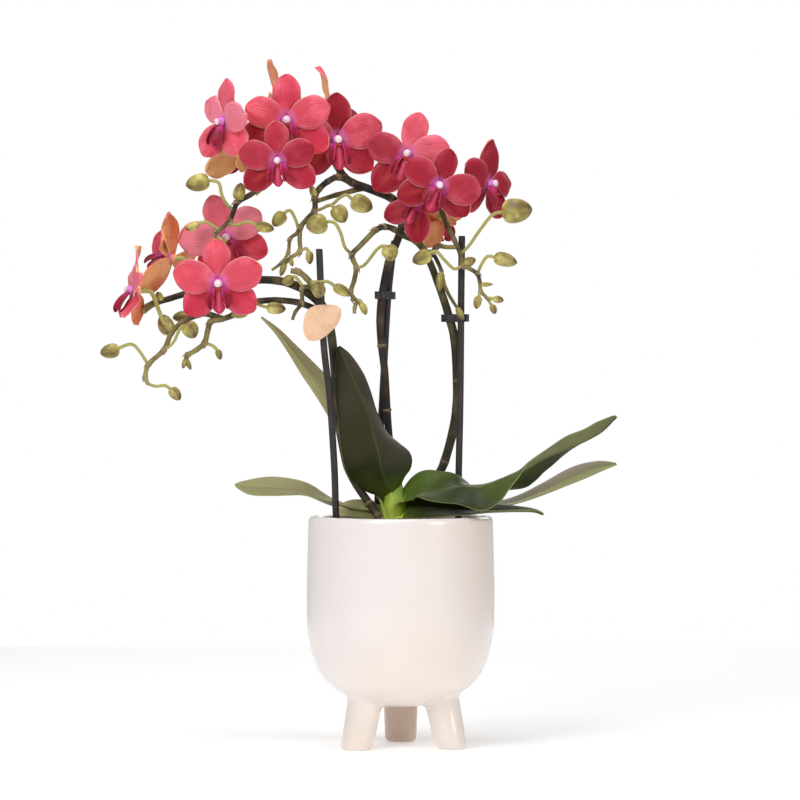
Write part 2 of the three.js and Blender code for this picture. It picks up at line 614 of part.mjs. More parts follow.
// Leaves: [x, y, z] up the midrib, then the half width as a vector to the blade's right-hand edge, looking
// from the root with its upper side up. The trough is how deep the blade folds, as a share of its half width.
const LEAVES = {
  left_back: {
    trough: 0.28,
    stations: [
      [-9.5, 5.5, 137, 2, 4, 1], [-17, 12, 143, 3, 6, 1], [-27, 20, 155, 5, 8, 1], [-35, 30, 170, 6, 10, 1],
      [-42, 38, 187, 7, 10, 1], [-51, 43, 204, 7, 9, 2], [-62, 47, 222, 5, 7, 2], [-72, 49, 234, 3, 4, 2],
      [-78, 50, 239.5, 0.5, 0.6, 0.3],
    ],
  },
  upright: {
    trough: 0.34,
    stations: [
      [-4, -2, 144, -5, 0, -2], [-6.5, -4, 149, -12, 2, -3], [-10.5, -6, 155, -16, 3, -3],
      [-16.5, -7, 163, -17, 4, -3],
      [-22, -7, 175, -14.5, 4, -2], [-26.5, -6, 192, -11.5, 4, 0], [-30, -5, 208, -8, 4, 0],
      [-33, -4, 219, -4, 2, 0],
      [-34.3, -4, 224, -0.8, 0.2, 0],
    ],
  },
  right_front: {
    trough: 0.2,
    stations: [
      [2.5, -4, 141, 1, -6, -2], [11, -8, 145, 2, -10, -5], [20, -13, 144.5, 2, -14, -5],
      [33, -19, 139, 2, -15, -5],
      [45, -23, 138.6, 0, -15, -5.4], [56, -25, 142, -1, -14, -6], [69, -26, 151, 2, -12, -7],
      [81.5, -25, 160, 3, -10, -8],
      [95, -23, 168, 3, -9, -6], [109, -20, 176, 2, -6, -4], [119.5, -18, 184, 0.3, -0.8, -0.4],
    ],
  },
  right_back: {
    trough: 0.22,
    stations: [
      [3.5, 4, 130.5, 1, -3, 0], [11, 7, 132.5, 2, -5, 0], [20, 11.5, 133.6, 3, -6, 0],
      [30, 18, 134.4, 4, -7, -1],
      [42, 25, 134.8, 3, -8, -2], [60, 34, 137, 2, -9, -4], [78, 42, 143, 1, -8, -5],
      [95, 48, 149, 1, -7, -5],
      [109, 52, 154, 1, -4, -3], [119.5, 54, 156.3, 0.2, -0.8, -0.4],
    ],
  },
  right_low: {
    trough: 0.2,
    stations: [
      [3.5, -4, 129, 1, -4, 0], [12, -9, 130, 2, -7, -0.5], [22, -14, 131, 2, -9, -1],
      [36, -20, 132.4, 2, -9, -1],
      [50, -24, 133.4, 1, -8, -1], [64, -26, 134, 1, -5, -1], [79, -27, 131.5, 0.1, -0.9, 0],
    ],
  },
  left_low: {
    trough: 0.2,
    stations: [
      [-8.5, 4, 128.5, -1, 4, 0], [-15, 9, 129.8, -3, 6, 0], [-27, 17, 132.5, -4, 8, 1],
      [-41, 25, 137.5, -4, 9, 3],
      [-56, 33, 142.6, -3, 9, 4], [-72, 40, 145.3, -2, 8, 4], [-84.4, 45, 146, -1, 5, 3],
      [-92.5, 48, 146, -0.1, 0.8, 0.4],
    ],
  },
  back: {
    trough: 0.3,
    stations: [
      [-10, 4, 132.6, -1, 2.6, 0], [-17, 6.5, 135, -1, 3.6, 0.5], [-26, 9.5, 137.2, -1, 4.5, 1],
      [-32, 10.5, 137.8, 0, 3, 0.6],
      [-36, 11, 137.4, 0, 0.8, 0.2],
    ],
  },
};
const CROWN = { at: [-2.5, 1], foot: 110, top: 143, radius: 5.6 };

function leafGrid({ stations, trough }) {
  const middles = stations.map(([x, y, z]) => new THREE.Vector3(x, y, z));
  return stations.map(([, , , ax, ay, az], i) => {
    const [before, after] = [middles[Math.max(i - 1, 0)], middles[Math.min(i + 1, middles.length - 1)]];
    const along = after.clone().sub(before).normalize();
    const wanted = new THREE.Vector3(ax, ay, az);
    const half = wanted.length();
    const across = wanted.clone().addScaledVector(along, -wanted.dot(along)).setLength(half);
    const up = across.clone().cross(along).normalize();
    return [-1, -0.55, 0, 0.55, 1].map((side) =>
      middles[i]
        .clone()
        .addScaledVector(across, side)
        .addScaledVector(up, trough * half * (Math.abs(side) ** 1.3 - 0.35)),
    );
  });
}

// Crown: the short stem, with a folded sheath out to the root of each leaf.
function crownCore(grow) {
  const { at, foot, top, radius } = CROWN;
  return shoot([[...at, foot], [...at, top]], radius * 0.8 + grow, radius + grow, 8);
}

// A sheath widens from the stem into the first row of its leaf, and ends a gap short of it.
function sheath(leaf) {
  const [first, second] = leafGrid(leaf).map((row) => [row[0], row[2], row[4]]);
  const middle = first[1];
  const back = middle.clone().sub(second[1]).normalize();
  const core = new THREE.Vector3(...CROWN.at, Math.min(middle.z - 2, CROWN.top - 3));
  const shifted = (distance) => first.map((point) => point.clone().addScaledVector(back, distance));
  const root = first.map((point) => point.clone().sub(middle).multiplyScalar(0.7).add(core));
  return blade([root, shifted(GAP)], 2);
}

// Bark: the filled grow pot, with coarse chips on top, and plain holes for what stands in it.
function barkBody(holes) {
  const top = GROW_POT_FOOT + GROW_POT_HEIGHT;
  const inner = GROW_POT_RADIUS - GROW_POT_WALL;
  const body = turned(
    [
      [0, GROW_POT_FOOT + GROW_POT_WALL + GAP],
      [GROW_POT_BASE_RADIUS - GROW_POT_WALL - 1, GROW_POT_FOOT + GROW_POT_WALL + GAP],
      [inner - 0.6, top - 0.5],
      [inner - 4, BARK_LEVEL - 0.5],
      [0, BARK_LEVEL],
    ],
    20,
  );
  let seed = 9;
  const random = () => {
    seed = (seed * 48271) % 2147483647;
    return seed / 2147483647;
  };
  const chips = [];
  for (let i = 0; i < CHIPS; i += 1) {
    const angle = 2.399963 * i + random() * 0.5;
    const radius = 37 * Math.sqrt((i + 2) / (CHIPS + 2));
    const chip = new THREE.BoxGeometry(10 + 6 * random(), 6 + 4 * random(), 3.4 + 1.5 * random());
    chip.rotateX(0.5 * (random() - 0.5));
    chip.rotateY(0.5 * (random() - 0.5));
    chip.rotateZ(Math.PI * random());
    const lift = radius > 24 ? 0.6 : -1.8;
    chip.translate(radius * Math.cos(angle), radius * Math.sin(angle), BARK_LEVEL + lift);
    chips.push(solid(chip));
  }
  return holes.reduce((whole, hole) => whole.subtract(hole), fuse([body, ...chips]));
}

// Clip: a flat plastic ring that holds a stem against its stake.
function clipBody(stake, stem, height, length, depth) {
  const middle = [(stake[0] + stem[0]) / 2, (stake[1] + stem[1]) / 2];
  const angle = Math.atan2(stem[1] - stake[1], stem[0] - stake[0]);
  const outline = new THREE.Shape();
  outline.absellipse(0, 0, length / 2, depth / 2, 0, 2 * Math.PI, false, 0);
  const reach = Math.hypot(stem[0] - stake[0], stem[1] - stake[1]) / 2;
  for (const [x, radius] of [[-reach, STAKE_RADIUS + GAP + 0.6], [reach, STEM_RADIUS + GAP + 0.2]]) {
    const hole = new THREE.Path();
    hole.absarc(x, 0, radius, 0, 2 * Math.PI, true);
    outline.holes.push(hole);
  }
  const extrusion = { depth: CLIP_HEIGHT, bevelEnabled: false, curveSegments: 8 };
  const geometry = new THREE.ExtrudeGeometry(outline, extrusion);
  geometry.rotateZ(angle);
  geometry.translate(middle[0], middle[1], height - CLIP_HEIGHT / 2);
  return solid(geometry);
}

// Tag: a thin card with a rounded outline, and a collar at its back that grips the left stake.
function tagBody() {
  const card = new THREE.Shape();
  card.moveTo(0, 10);
  card.bezierCurveTo(4, 10.4, 7, 8, 8.6, 4);
  card.bezierCurveTo(10.6, -1, 10.4, -8, 5.6, -9.6);
  card.bezierCurveTo(2, -10.4, -2, -10.4, -5.6, -9.6);
  card.bezierCurveTo(-10.4, -8, -10.6, -1, -8.6, 4);
  card.bezierCurveTo(-7, 8, -4, 10.4, 0, 10);
  const plate = new THREE.ExtrudeGeometry(card, { depth: 1, bevelEnabled: false, curveSegments: 4 });
  plate.rotateX(Math.PI / 2);
  const inner = STAKE_RADIUS + GAP + 0.1;
  const outer = inner + 1;
  plate.translate(0, -outer + 0.4, 0);
  const collar = turned([[inner, -3], [outer, -3], [outer, 3], [inner, 3], [inner, -3]], 8);
  const bore = turned([[0, -4], [inner, -4], [inner, 4], [0, 4]], 8);
  return fuse([solid(plate), collar]).subtract(bore);
}

const orchid = new THREE.Group();
orchid.add(meshOf("pot", potBody(), "pot"));
orchid.add(meshOf("grow_pot", growPotBody(), "growPot"));

const stakePiece = (points, grow) => shoot(points, STAKE_RADIUS + grow, STAKE_RADIUS + grow, 8);
for (const [side, points] of Object.entries(STAKES)) {
  orchid.add(meshOf(`stake_${side}`, stakePiece(points, 0), "stake"));
}

const ring = petalRing();
const lip = lipBody();
const blooms = {};
for (const [name, bloom] of Object.entries(BLOOMS)) {
  blooms[name] = bloomGroup(name, bloom, ring, lip);
  orchid.add(blooms[name]);
}

const stemHoles = [];
for (const side of Object.keys(SPIKES)) {
  orchid.add(meshOf(`spike_${side}`, spikeBody(side, blooms), "stem"));
  const [[x, y, z], [, , upper]] = SPIKES[side].shoots[0][2];
  stemHoles.push(shoot([[x, y, z - 1], [x, y, upper + 12]], STEM_RADIUS + 1, STEM_RADIUS + 1, 8));
}

const grownCrown = crownCore(GAP + 0.1);
orchid.add(
  meshOf("crown", fuse([crownCore(0), ...Object.values(LEAVES).map(sheath)]), "crown"),
);
for (const [name, leaf] of Object.entries(LEAVES)) {
  orchid.add(meshOf(`leaf_${name}`, blade(leafGrid(leaf), LEAF_THICKNESS).subtract(grownCrown), "leaf"));
}
const stakeHoles = Object.values(STAKES).map((points) => stakePiece(points, GAP + 0.1));
orchid.add(meshOf("bark", barkBody([grownCrown, ...stemHoles, ...stakeHoles]), "bark"));

orchid.add(meshOf("clip_middle", clipBody([-7.05, 16.3], [-10.5, 11.5], 253, 15.5, 9), "clip"));
orchid.add(meshOf("clip_right", clipBody([33.8, 3.3], [27.3, 7], 240, 16, 8), "clip"));

const tag = meshOf("tag", tagBody(), "tag");
tag.position.set(-43.65, -13, 237);
tag.rotation.set(THREE.MathUtils.degToRad(2.8), THREE.MathUtils.degToRad(-2.6), 0);
orchid.add(tag);

const middle = new THREE.Box3().setFromObject(orchid, true).getCenter(new THREE.Vector3());
orchid.position.set(-middle.x, -middle.y, 0);

export default orchid;
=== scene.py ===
# Potted moth orchid: three arching spikes of coral-red flowers in a cream glazed pot.
# Built around the imported CAD model. Blender units are metres; the given points are in millimetres
# from the pot's axis on the table.
import random
from math import atan2, copysign, cos, exp, pi, radians, sin, sqrt

import bpy
from mathutils import Matrix, Vector, noise


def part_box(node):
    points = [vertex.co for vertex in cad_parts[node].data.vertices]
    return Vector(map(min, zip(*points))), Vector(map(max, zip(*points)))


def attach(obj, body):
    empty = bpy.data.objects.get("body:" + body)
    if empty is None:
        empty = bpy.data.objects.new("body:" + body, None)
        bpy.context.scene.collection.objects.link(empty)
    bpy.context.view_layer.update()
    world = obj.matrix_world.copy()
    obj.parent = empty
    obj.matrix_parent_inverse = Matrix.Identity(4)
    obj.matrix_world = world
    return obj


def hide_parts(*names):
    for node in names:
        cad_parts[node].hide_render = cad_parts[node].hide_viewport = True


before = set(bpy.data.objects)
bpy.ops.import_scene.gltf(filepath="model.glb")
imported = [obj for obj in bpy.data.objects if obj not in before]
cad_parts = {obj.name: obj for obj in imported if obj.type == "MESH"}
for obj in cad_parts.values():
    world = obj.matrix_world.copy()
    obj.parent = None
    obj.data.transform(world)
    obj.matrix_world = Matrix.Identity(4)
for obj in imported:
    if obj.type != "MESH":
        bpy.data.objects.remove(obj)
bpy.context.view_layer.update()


# ---------------------------------------------------------------------------------------- studio
# The plant stands on a pale seamless sheet in soft daylight from a big lamp in front at the left.
# A level camera looks along +Y at half the plant's height, from 2 m away.
MM = 0.001
pot_low, pot_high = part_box("pot")
AXIS = Vector(((pot_low.x + pot_high.x) / 2, (pot_low.y + pot_high.y) / 2, 0))
CAMERA_DISTANCE = 2.0
CAMERA_HEIGHT = 0.194
VIEW_WIDTH = 0.448  # what the picture takes in across the pot's axis
VIEW_SHIFT = -0.0004
SENSOR = 36.0
# Each lamp's place, the height that it shines at, its width and height, its power and its colour.
LAMPS = {
    "key_lamp": ((-0.9, -1.5, 1.2), 0.2, (0.8, 1.0), 18.5, (1, 1, 1)),
    "fill_lamp": ((1.4, -1.3, 0.7), 0.2, (0.7, 0.9), 10, (1, 0.94, 0.88)),
    "top_lamp": ((-0.1, -0.25, 1.5), 0.2, (0.7, 0.6), 8, (1, 1, 1)),
    "back_lamp": ((0.3, 1.3, 0.9), 0.25, (1.2, 0.9), 5, (1, 1, 1)),
}
WALL_WHITE = (1, 1, 1, 1)
WALL_WARM = (1, 0.97, 0.94, 1)
WALL_LIGHT = 0.17  # how bright the walls are where they light the plant
WALL_SHINE = 0.62  # how bright they are in its glossy surfaces


class Value:
    """A shader socket that takes part in sums as a number does. Each sum adds its Math node."""

    def __init__(self, finish, socket):
        self.finish, self.socket = finish, socket

    def maths(self, operation, first, second):
        return self.finish.node("ShaderNodeMath", {"operation": operation}, {0: first, 1: second})

    def __add__(self, other):
        return self.maths("ADD", self, other)

    def __sub__(self, other):
        return self.maths("SUBTRACT", self, other)

    def __rsub__(self, other):
        return self.maths("SUBTRACT", other, self)

    def __mul__(self, other):
        return self.maths("MULTIPLY", self, other)

    __radd__ = __add__
    __rmul__ = __mul__

    def wave(self):
        return self.finish.node("ShaderNodeMath", {"operation": "SINE"}, {0: self})

    def step(self, low, high):
        """A soft step from 0, where the value is low, to 1, where it is high."""
        inputs = {"Value": self, "From Min": low, "From Max": high}
        return self.finish.node("ShaderNodeMapRange", {"interpolation_type": "SMOOTHSTEP"}, inputs)


class Finish:
    """A material, or the light of the studio's walls, put together node by node."""

    def __init__(self, name, kept_in=bpy.data.materials):
        self.made = kept_in.new(name)
        self.made.use_nodes = True
        self.tree = self.made.node_tree
        self.tree.nodes.clear()

    def node(self, kind, settings=None, inputs=None, output=0):
        made = self.tree.nodes.new(kind)
        for name, value in (settings or {}).items():
            setattr(made, name, value)
        for name, value in (inputs or {}).items():
            if isinstance(value, Value):
                self.tree.links.new(value.socket, made.inputs[name])
            else:
                made.inputs[name].default_value = value
        return Value(self, made.outputs[output]) if len(made.outputs) else None

    def painted(self, name):
        """A number that is painted on the corners of the piece."""
        return self.node("ShaderNodeAttribute", {"attribute_name": name}, output="Fac")

    def noise(self, scale, detail, vector=None):
        """Cloudy noise, with so many clouds to a metre."""
        where = vector or self.node("ShaderNodeTexCoord", output="Object")
        inputs = {"Vector": where, "Scale": scale, "Detail": detail}
        return self.node("ShaderNodeTexNoise", None, inputs)

    def cells(self, scale):
        """Distance from the nearest of many scattered points, with so many to a metre."""
        where = self.node("ShaderNodeTexCoord", output="Object")
        return self.node("ShaderNodeTexVoronoi", None, {"Vector": where, "Scale": scale})

    def blend(self, share, first, second):
        """A mix of two colours, which may be sockets or 8-bit screen colours."""
        first, second = (
            colour(given) if isinstance(given, tuple) and len(given) == 3 else given
            for given in (first, second)
        )
        inputs = {0: share, 6: first, 7: second}
        return self.node("ShaderNodeMix", {"data_type": "RGBA"}, inputs, output=2)

    def coats(self, base, *coats):
        """Colours over a base colour, each with the share of it that shows."""
        for share, coat in coats:
            base = self.blend(share, base, coat)
        return base

    def bump(self, height, depth):
        inputs = {"Height": height, "Distance": depth * MM, "Strength": 1.0}
        return self.node("ShaderNodeBump", None, inputs)

    def surface(self, **inputs):
        named = {name.replace("_", " "): value for name, value in inputs.items()}
        shader = self.node("ShaderNodeBsdfPrincipled", None, named)
        self.node("ShaderNodeOutputMaterial", None, {"Surface": shader})
        return self.made


def colour(rgb):
    """An 8-bit screen colour as the linear one that a shader takes."""
    linear = [c / 255 / 12.92 if c <= 10 else ((c / 255 + 0.055) / 1.055) ** 2.4 for c in rgb]
    return (*linear, 1)


def stand(name, data):
    """A new object in the scene."""
    made = bpy.data.objects.new(name, data)
    bpy.context.scene.collection.objects.link(made)
    return made


for name, (place, aim, size, power, tint) in LAMPS.items():
    lamp = bpy.data.lights.new(name, "AREA")
    lamp.shape = "RECTANGLE"
    lamp.size, lamp.size_y = size
    lamp.energy, lamp.color = power, tint
    light = stand(name, lamp)
    light.location = place
    beam = Vector((0, 0, aim)) - light.location
    light.rotation_euler = beam.to_track_quat("-Z", "Y").to_euler()

room = Finish("studio", bpy.data.worlds)
walls = room.node("ShaderNodeBackground", None, {"Color": WALL_WHITE, "Strength": WALL_LIGHT})
shine = room.node("ShaderNodeBackground", None, {"Color": WALL_WARM, "Strength": WALL_SHINE})
paper = room.node("ShaderNodeBackground", None, {"Color": WALL_WHITE})
for ray, seen in (("Is Glossy Ray", shine), ("Is Camera Ray", paper)):
    mask = room.node("ShaderNodeLightPath", output=ray)
    walls = room.node("ShaderNodeMixShader", None, {0: mask, 1: walls, 2: seen})
room.node("ShaderNodeOutputWorld", None, {"Surface": walls})
bpy.context.scene.world = room.made
bpy.context.scene.view_settings.view_transform = "Standard"

camera = bpy.data.cameras.new("camera")
camera.sensor_width = SENSOR
camera.lens = SENSOR * CAMERA_DISTANCE / VIEW_WIDTH
tripod = stand("camera", camera)
tripod.location = (AXIS.x + VIEW_SHIFT, AXIS.y - CAMERA_DISTANCE, CAMERA_HEIGHT)
tripod.rotation_euler = (radians(90), 0, 0)
bpy.context.scene.camera = tripod


# ------------------------------------------------------------------------------------------- pot
# Cache pot: slip-cast stoneware bowl in cream glaze, with a soft rim and three stub feet that were
# luted on before firing. The back foot gets painted shade, a warm tan for the shadow and bounced
# light on it.
POT_HEIGHT = 129
POT_RIM_RADIUS = 51.6
POT_WALL = 5
# Radius and height along the bowl's outside, from the middle of its foot, and down its inside.
POT_OUTSIDE = [
    (0, 22.6), (10, 22.9), (20, 24.6), (33.5, 30.2), (42.7, 37.8), (48.2, 47.5), (51.6, 62),
    (52.5, 82), (52.2, 105), (51.6, 126.5),
]
POT_INSIDE = [(46.6, 126.5), (47.5, 82), (44.5, 52), (36, 39.5), (20, 30.5), (8, 29.2), (0, 29)]
POT_STEPS = 8
POT_SIDES = 128
BELLY_HEIGHT = 82
PINHOLE = 0.05  # the smallest ring, in place of a point
FOOT_ANGLES = (-142, -24, 90)
BACK_FOOT = 90
FOOT_CIRCLE = 31.2  # through the middles of the feet, on the table
FOOT_LEAN = 7.5
FOOT_RADIUS = 8.9
FOOT_ROOT_RADIUS = 10.1
FOOT_ROOT_HEIGHT = 33
FOOT_EDGE = 2.6  # round edge at the bottom of a foot
FOOT_FILLET = 3.2
FILLET_PROUD = 0.15  # how far it ends above the bowl
FOOT_SEARCH = 0.2  # step in the search for the height where a foot meets the bowl
FOOT_SIDES = 40
FOOT_SHADE = 0.75  # how far the back foot is painted with shade, as a warm tan
GLAZE_CREAM = (238, 231, 229)
# Warm tan of the painted shade on the back foot.
GLAZE_SHADE_TAN = (186, 152, 124)
GLAZE_WARM = (232, 214, 196)
GLAZE_SPECK = (222, 198, 172)


def smooth_line(points, steps):
    """Points along a smooth line through a few given ones, of any number of coordinates."""
    line = []
    last = len(points) - 1
    for k in range(last):
        near = [points[i] for i in (max(k - 1, 0), k, k + 1, min(k + 2, last))]
        for s in range(steps):
            t = s / steps
            weights = (
                -0.5 * t + t * t - 0.5 * t**3,
                1 - 2.5 * t * t + 1.5 * t**3,
                0.5 * t + 2 * t * t - 1.5 * t**3,
                -0.5 * t * t + 0.5 * t**3,
            )
            line.append(tuple(sum(w * c for w, c in zip(weights, places)) for places in zip(*near)))
    line.append(tuple(points[last]))
    return line


class Skin:
    """The surface of a piece in the making: corners, faces, and numbers painted on corners."""

    def __init__(self):
        self.corners, self.faces, self.paint = [], [], {}

    def patch(self, corners, faces, **paint):
        """Adds corners and faces. Paint is one number for all the corners, or a list, or else 0."""
        start = len(self.corners)
        self.corners += [Vector(corner) for corner in corners]
        self.faces += [tuple(start + i for i in face) for face in faces]
        for name in {**self.paint, **paint}:
            values = self.paint.setdefault(name, [0.0] * start)
            new = paint.get(name, 0.0)
            values += new if isinstance(new, list) else [new] * len(corners)

    def piece(self, name, material, node):
        """Makes the piece, which stands for a node of the CAD model."""
        mesh = bpy.data.meshes.new(name)
        mesh.from_pydata([corner * MM + AXIS for corner in self.corners], [], self.faces)
        for tone, values in self.paint.items():
            mesh.attributes.new(tone, "FLOAT", "POINT").data.foreach_set("value", values)
        mesh.polygons.foreach_set("use_smooth", [True] * len(mesh.polygons))
        mesh.materials.append(material)
        made = stand(name, mesh)
        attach(made, "root")
        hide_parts(node)


def ring_patch(rings, open_end=False):
    """Corners and faces of equal rings, one after another, closed at the ends."""
    sides = len(rings[0])
    faces = []
    for k in range(len(rings) - 1):
        for i in range(sides):
            j = (i + 1) % sides
            faces.append((k * sides + i, k * sides + j, (k + 1) * sides + j, (k + 1) * sides + i))
    faces.append(tuple(reversed(range(sides))))
    if not open_end:
        start = (len(rings) - 1) * sides
        faces.append(tuple(range(start, start + sides)))
    return [corner for ring in rings for corner in ring], faces


def turns(sides):
    """Equal angles once around."""
    return [2 * pi * i / sides for i in range(sides)]


def circle(radius, height, sides, middle=(0, 0)):
    x, y = middle
    return [(x + radius * cos(turn), y + radius * sin(turn), height) for turn in turns(sides)]


def bowl_over(point):
    """Height of the bowl's outside over a point under its belly."""
    radius = point.to_2d().length
    line = [place for place in pot_outside if place[1] < BELLY_HEIGHT]
    for (r0, z0), (r1, z1) in zip(line, line[1:]):
        if r0 <= radius <= r1:
            return z0 + (z1 - z0) * (radius - r0) / (r1 - r0)
    return line[-1][1]


def foot_side(out, across, level, grow=0.0):
    """A point on a foot's side. Out leads away from the pot's axis, and across to that side."""
    share = level / FOOT_ROOT_HEIGHT
    radius = FOOT_RADIUS + (FOOT_ROOT_RADIUS - FOOT_RADIUS) * share + grow
    return out * (FOOT_CIRCLE - FOOT_LEAN * share) + across * radius + Vector((0, 0, level))


pot_outside = smooth_line(POT_OUTSIDE, POT_STEPS)
pot_inside = smooth_line(POT_INSIDE, POT_STEPS)
rim_round = POT_WALL / 2
pot_rim = [
    (
        POT_RIM_RADIUS - rim_round + rim_round * cos(radians(angle)),
        POT_HEIGHT - rim_round + rim_round * sin(radians(angle)),
    )
    for angle in range(15, 180, 15)
]
pot = Skin()
pot.patch(*ring_patch([
    circle(max(radius, PINHOLE), height, POT_SIDES)
    for radius, height in pot_outside + pot_rim + pot_inside
]))
edge_angles = [radians(angle) for angle in (0, 30, 60, 90)]
for degrees in FOOT_ANGLES:
    angle = radians(degrees)
    out = Vector((cos(angle), sin(angle), 0))
    columns = []
    for turn in turns(FOOT_SIDES):
        across = Vector((cos(turn), sin(turn), 0))
        meet = FOOT_EDGE
        while foot_side(out, across, meet).z < bowl_over(foot_side(out, across, meet)):
            meet += FOOT_SEARCH
        column = [
            foot_side(out, across, FOOT_EDGE * (1 - cos(a)), -FOOT_EDGE * (1 - sin(a)))
            for a in edge_angles
        ]
        for share in (0.33, 0.67, 1):
            level = FOOT_EDGE + (meet - FOOT_FILLET - FOOT_EDGE) * share
            column.append(foot_side(out, across, level))
        near, corner = column[-1], foot_side(out, across, meet)
        far = corner + across * FOOT_FILLET
        far.z = bowl_over(far) + FILLET_PROUD
        for t in (0.25, 0.5, 0.75, 1.0):
            column.append(near * (1 - t) ** 2 + corner * 2 * t * (1 - t) + far * t * t)
        columns.append(column)
    rings = list(zip(*columns))
    # The back foot is painted with shade, a warm tan.
    pot.patch(*ring_patch(rings, open_end=True), thin=FOOT_SHADE * (degrees == BACK_FOOT))

glaze = Finish("cream_glaze")
drift = glaze.noise(9, 2).step(0.35, 0.7)
pinholes = glaze.cells(900).step(0.0, 0.18)
specks = glaze.noise(420, 2).step(0.68, 0.78)
glaze_material = glaze.surface(
    Base_Color=glaze.coats(
        GLAZE_CREAM,
        (drift * 0.6, GLAZE_WARM),
        # painted shade on the back foot
        (glaze.painted("thin"), GLAZE_SHADE_TAN),
        (specks * 0.12, GLAZE_SPECK),
    ),
    Roughness=0.16 + 0.08 * glaze.noise(30, 2),
    Normal=glaze.bump(glaze.noise(60, 2) * 0.7 + pinholes * 0.1, 0.12),
    Coat_Weight=0.5,
    Coat_Roughness=0.08,
    Subsurface_Weight=0.08,
    Subsurface_Radius=(0.004, 0.003, 0.002),
)
pot.piece("glazed_pot", glaze_material, "pot")


# -------------------------------------------------------------------------------------- grow pot
# Grow pot: thin clear moulded plastic with a rolled rim, hidden in the cache pot. It keeps its CAD
# shape and gets the faint haze and scuffs of thin vacuum-formed sheet.
PLASTIC_CLEAR = (214, 219, 217)
PLASTIC_SCUFFED = (180, 184, 178)

haze = Finish("clear_plastic")
scuffs = haze.noise(140, 4).step(0.45, 0.75)
grow_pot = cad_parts["grow_pot"]
grow_pot.data.materials.clear()
grow_pot.data.materials.append(haze.surface(
    Base_Color=haze.blend(scuffs * 0.5, PLASTIC_CLEAR, PLASTIC_SCUFFED),
    Roughness=0.15 + 0.3 * scuffs,
    Alpha=0.35 + 0.25 * scuffs,
    IOR=1.47,
))


# ------------------------------------------------------------------------------------------ bark
# Bark: coarse orchid substrate, broken plates of red-brown pine bark that fill the grow pot. Loose
# chips lie at all angles on top, just under the pot's rim.
BARK_SIDES = 40
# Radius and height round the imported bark, from the middle of its top to that of its foot.
BARK_BODY = [(PINHOLE, 118), (20, 119), (38, 119), (42, 118), (41, 60), (31, 40), (PINHOLE, 40)]
CHIP_COUNT = 150
CHIP_CIRCLE = 37  # the middles of the chips lie inside it
CHIP_LEVELS = (120.5, 124)
CHIP_SIZE = ((7, 14), (4.5, 8), (1.8, 3.4))
CHIP_TILT = {"Y": 0.35, "X": 0.3}
CHIP_RINGS = ((-1, 0.75), (-0.5, 1.0), (0.5, 0.97), (1, 0.7))  # height and width of each
CHIP_SIDES = 10
CHIP_SQUARENESS = 1.35
CHIP_ROUGHNESS = 0.2
GOLDEN_ANGLE = 2.39996
BARK_BROWN = (104, 58, 38)
BARK_RED = (138, 70, 46)
BARK_DARK = (54, 32, 24)

chance = random.Random(5)
bark = Skin()
bark.patch(*ring_patch([circle(radius, height, BARK_SIDES) for radius, height in BARK_BODY]))
for k in range(CHIP_COUNT):
    radius = CHIP_CIRCLE * sqrt((k + 0.5) / CHIP_COUNT)
    half = [chance.uniform(*span) / 2 for span in CHIP_SIZE]
    attitude = Matrix.Rotation(chance.uniform(0, 2 * pi), 3, "Z")
    for axis, tilt in CHIP_TILT.items():
        attitude = attitude @ Matrix.Rotation(chance.gauss(0, tilt), 3, axis)
    turn = GOLDEN_ANGLE * k
    middle = Vector((radius * cos(turn), radius * sin(turn), chance.uniform(*CHIP_LEVELS)))
    rings = []
    for level, inset in CHIP_RINGS:
        ring = []
        for i, side in enumerate(turns(CHIP_SIDES)):
            dent = noise.noise(Vector((k * 3.1, i * 0.9, level)))
            bulge = inset * (1 + CHIP_ROUGHNESS * dent)
            x, y = (max(-1, min(1, CHIP_SQUARENESS * c)) for c in (cos(side), sin(side)))
            corner = Vector((x * half[0] * bulge, y * half[1] * bulge, level * half[2]))
            ring.append(middle + attitude @ corner)
        rings.append(ring)
    bark.patch(*ring_patch(rings), shade=chance.random())

wood = Finish("pine_bark")
grain = wood.noise(260, 4)
bark_tone = wood.blend(wood.painted("shade"), BARK_BROWN, BARK_RED)
bark_material = wood.surface(
    Base_Color=wood.blend(grain.step(0.4, 0.7) * 0.8, bark_tone, BARK_DARK),
    Roughness=0.75 + 0.2 * grain,
    Normal=wood.bump(grain + wood.noise(900, 2) * 0.3, 0.6),
)
bark.piece("bark_chips", bark_material, "bark")


# ---------------------------------------------------------------------------------------- leaves
# Leaves: thick strap leaves of a moth orchid, keeled along the midrib, olive green above with fine
# parallel veins, greyed purple-brown below, and with a thin pale margin. Each grows from the crown.
LEAF_THICKNESS = 1.3
LEAF_STEPS = 7  # rows from one listed station to the next
LEAF_COLUMNS = 21
LEAF_GROOVE = 0.5  # depth of the groove over the midrib
GROOVE_WIDTH = 0.07
FOLD_CURVE = 1.3
FOLD_DROP = 0.35  # how far the midrib lies under the station's point, as a share of the fold
SHEET_EDGE = 0.35  # how thick a blade is at its edge, as a share of its middle
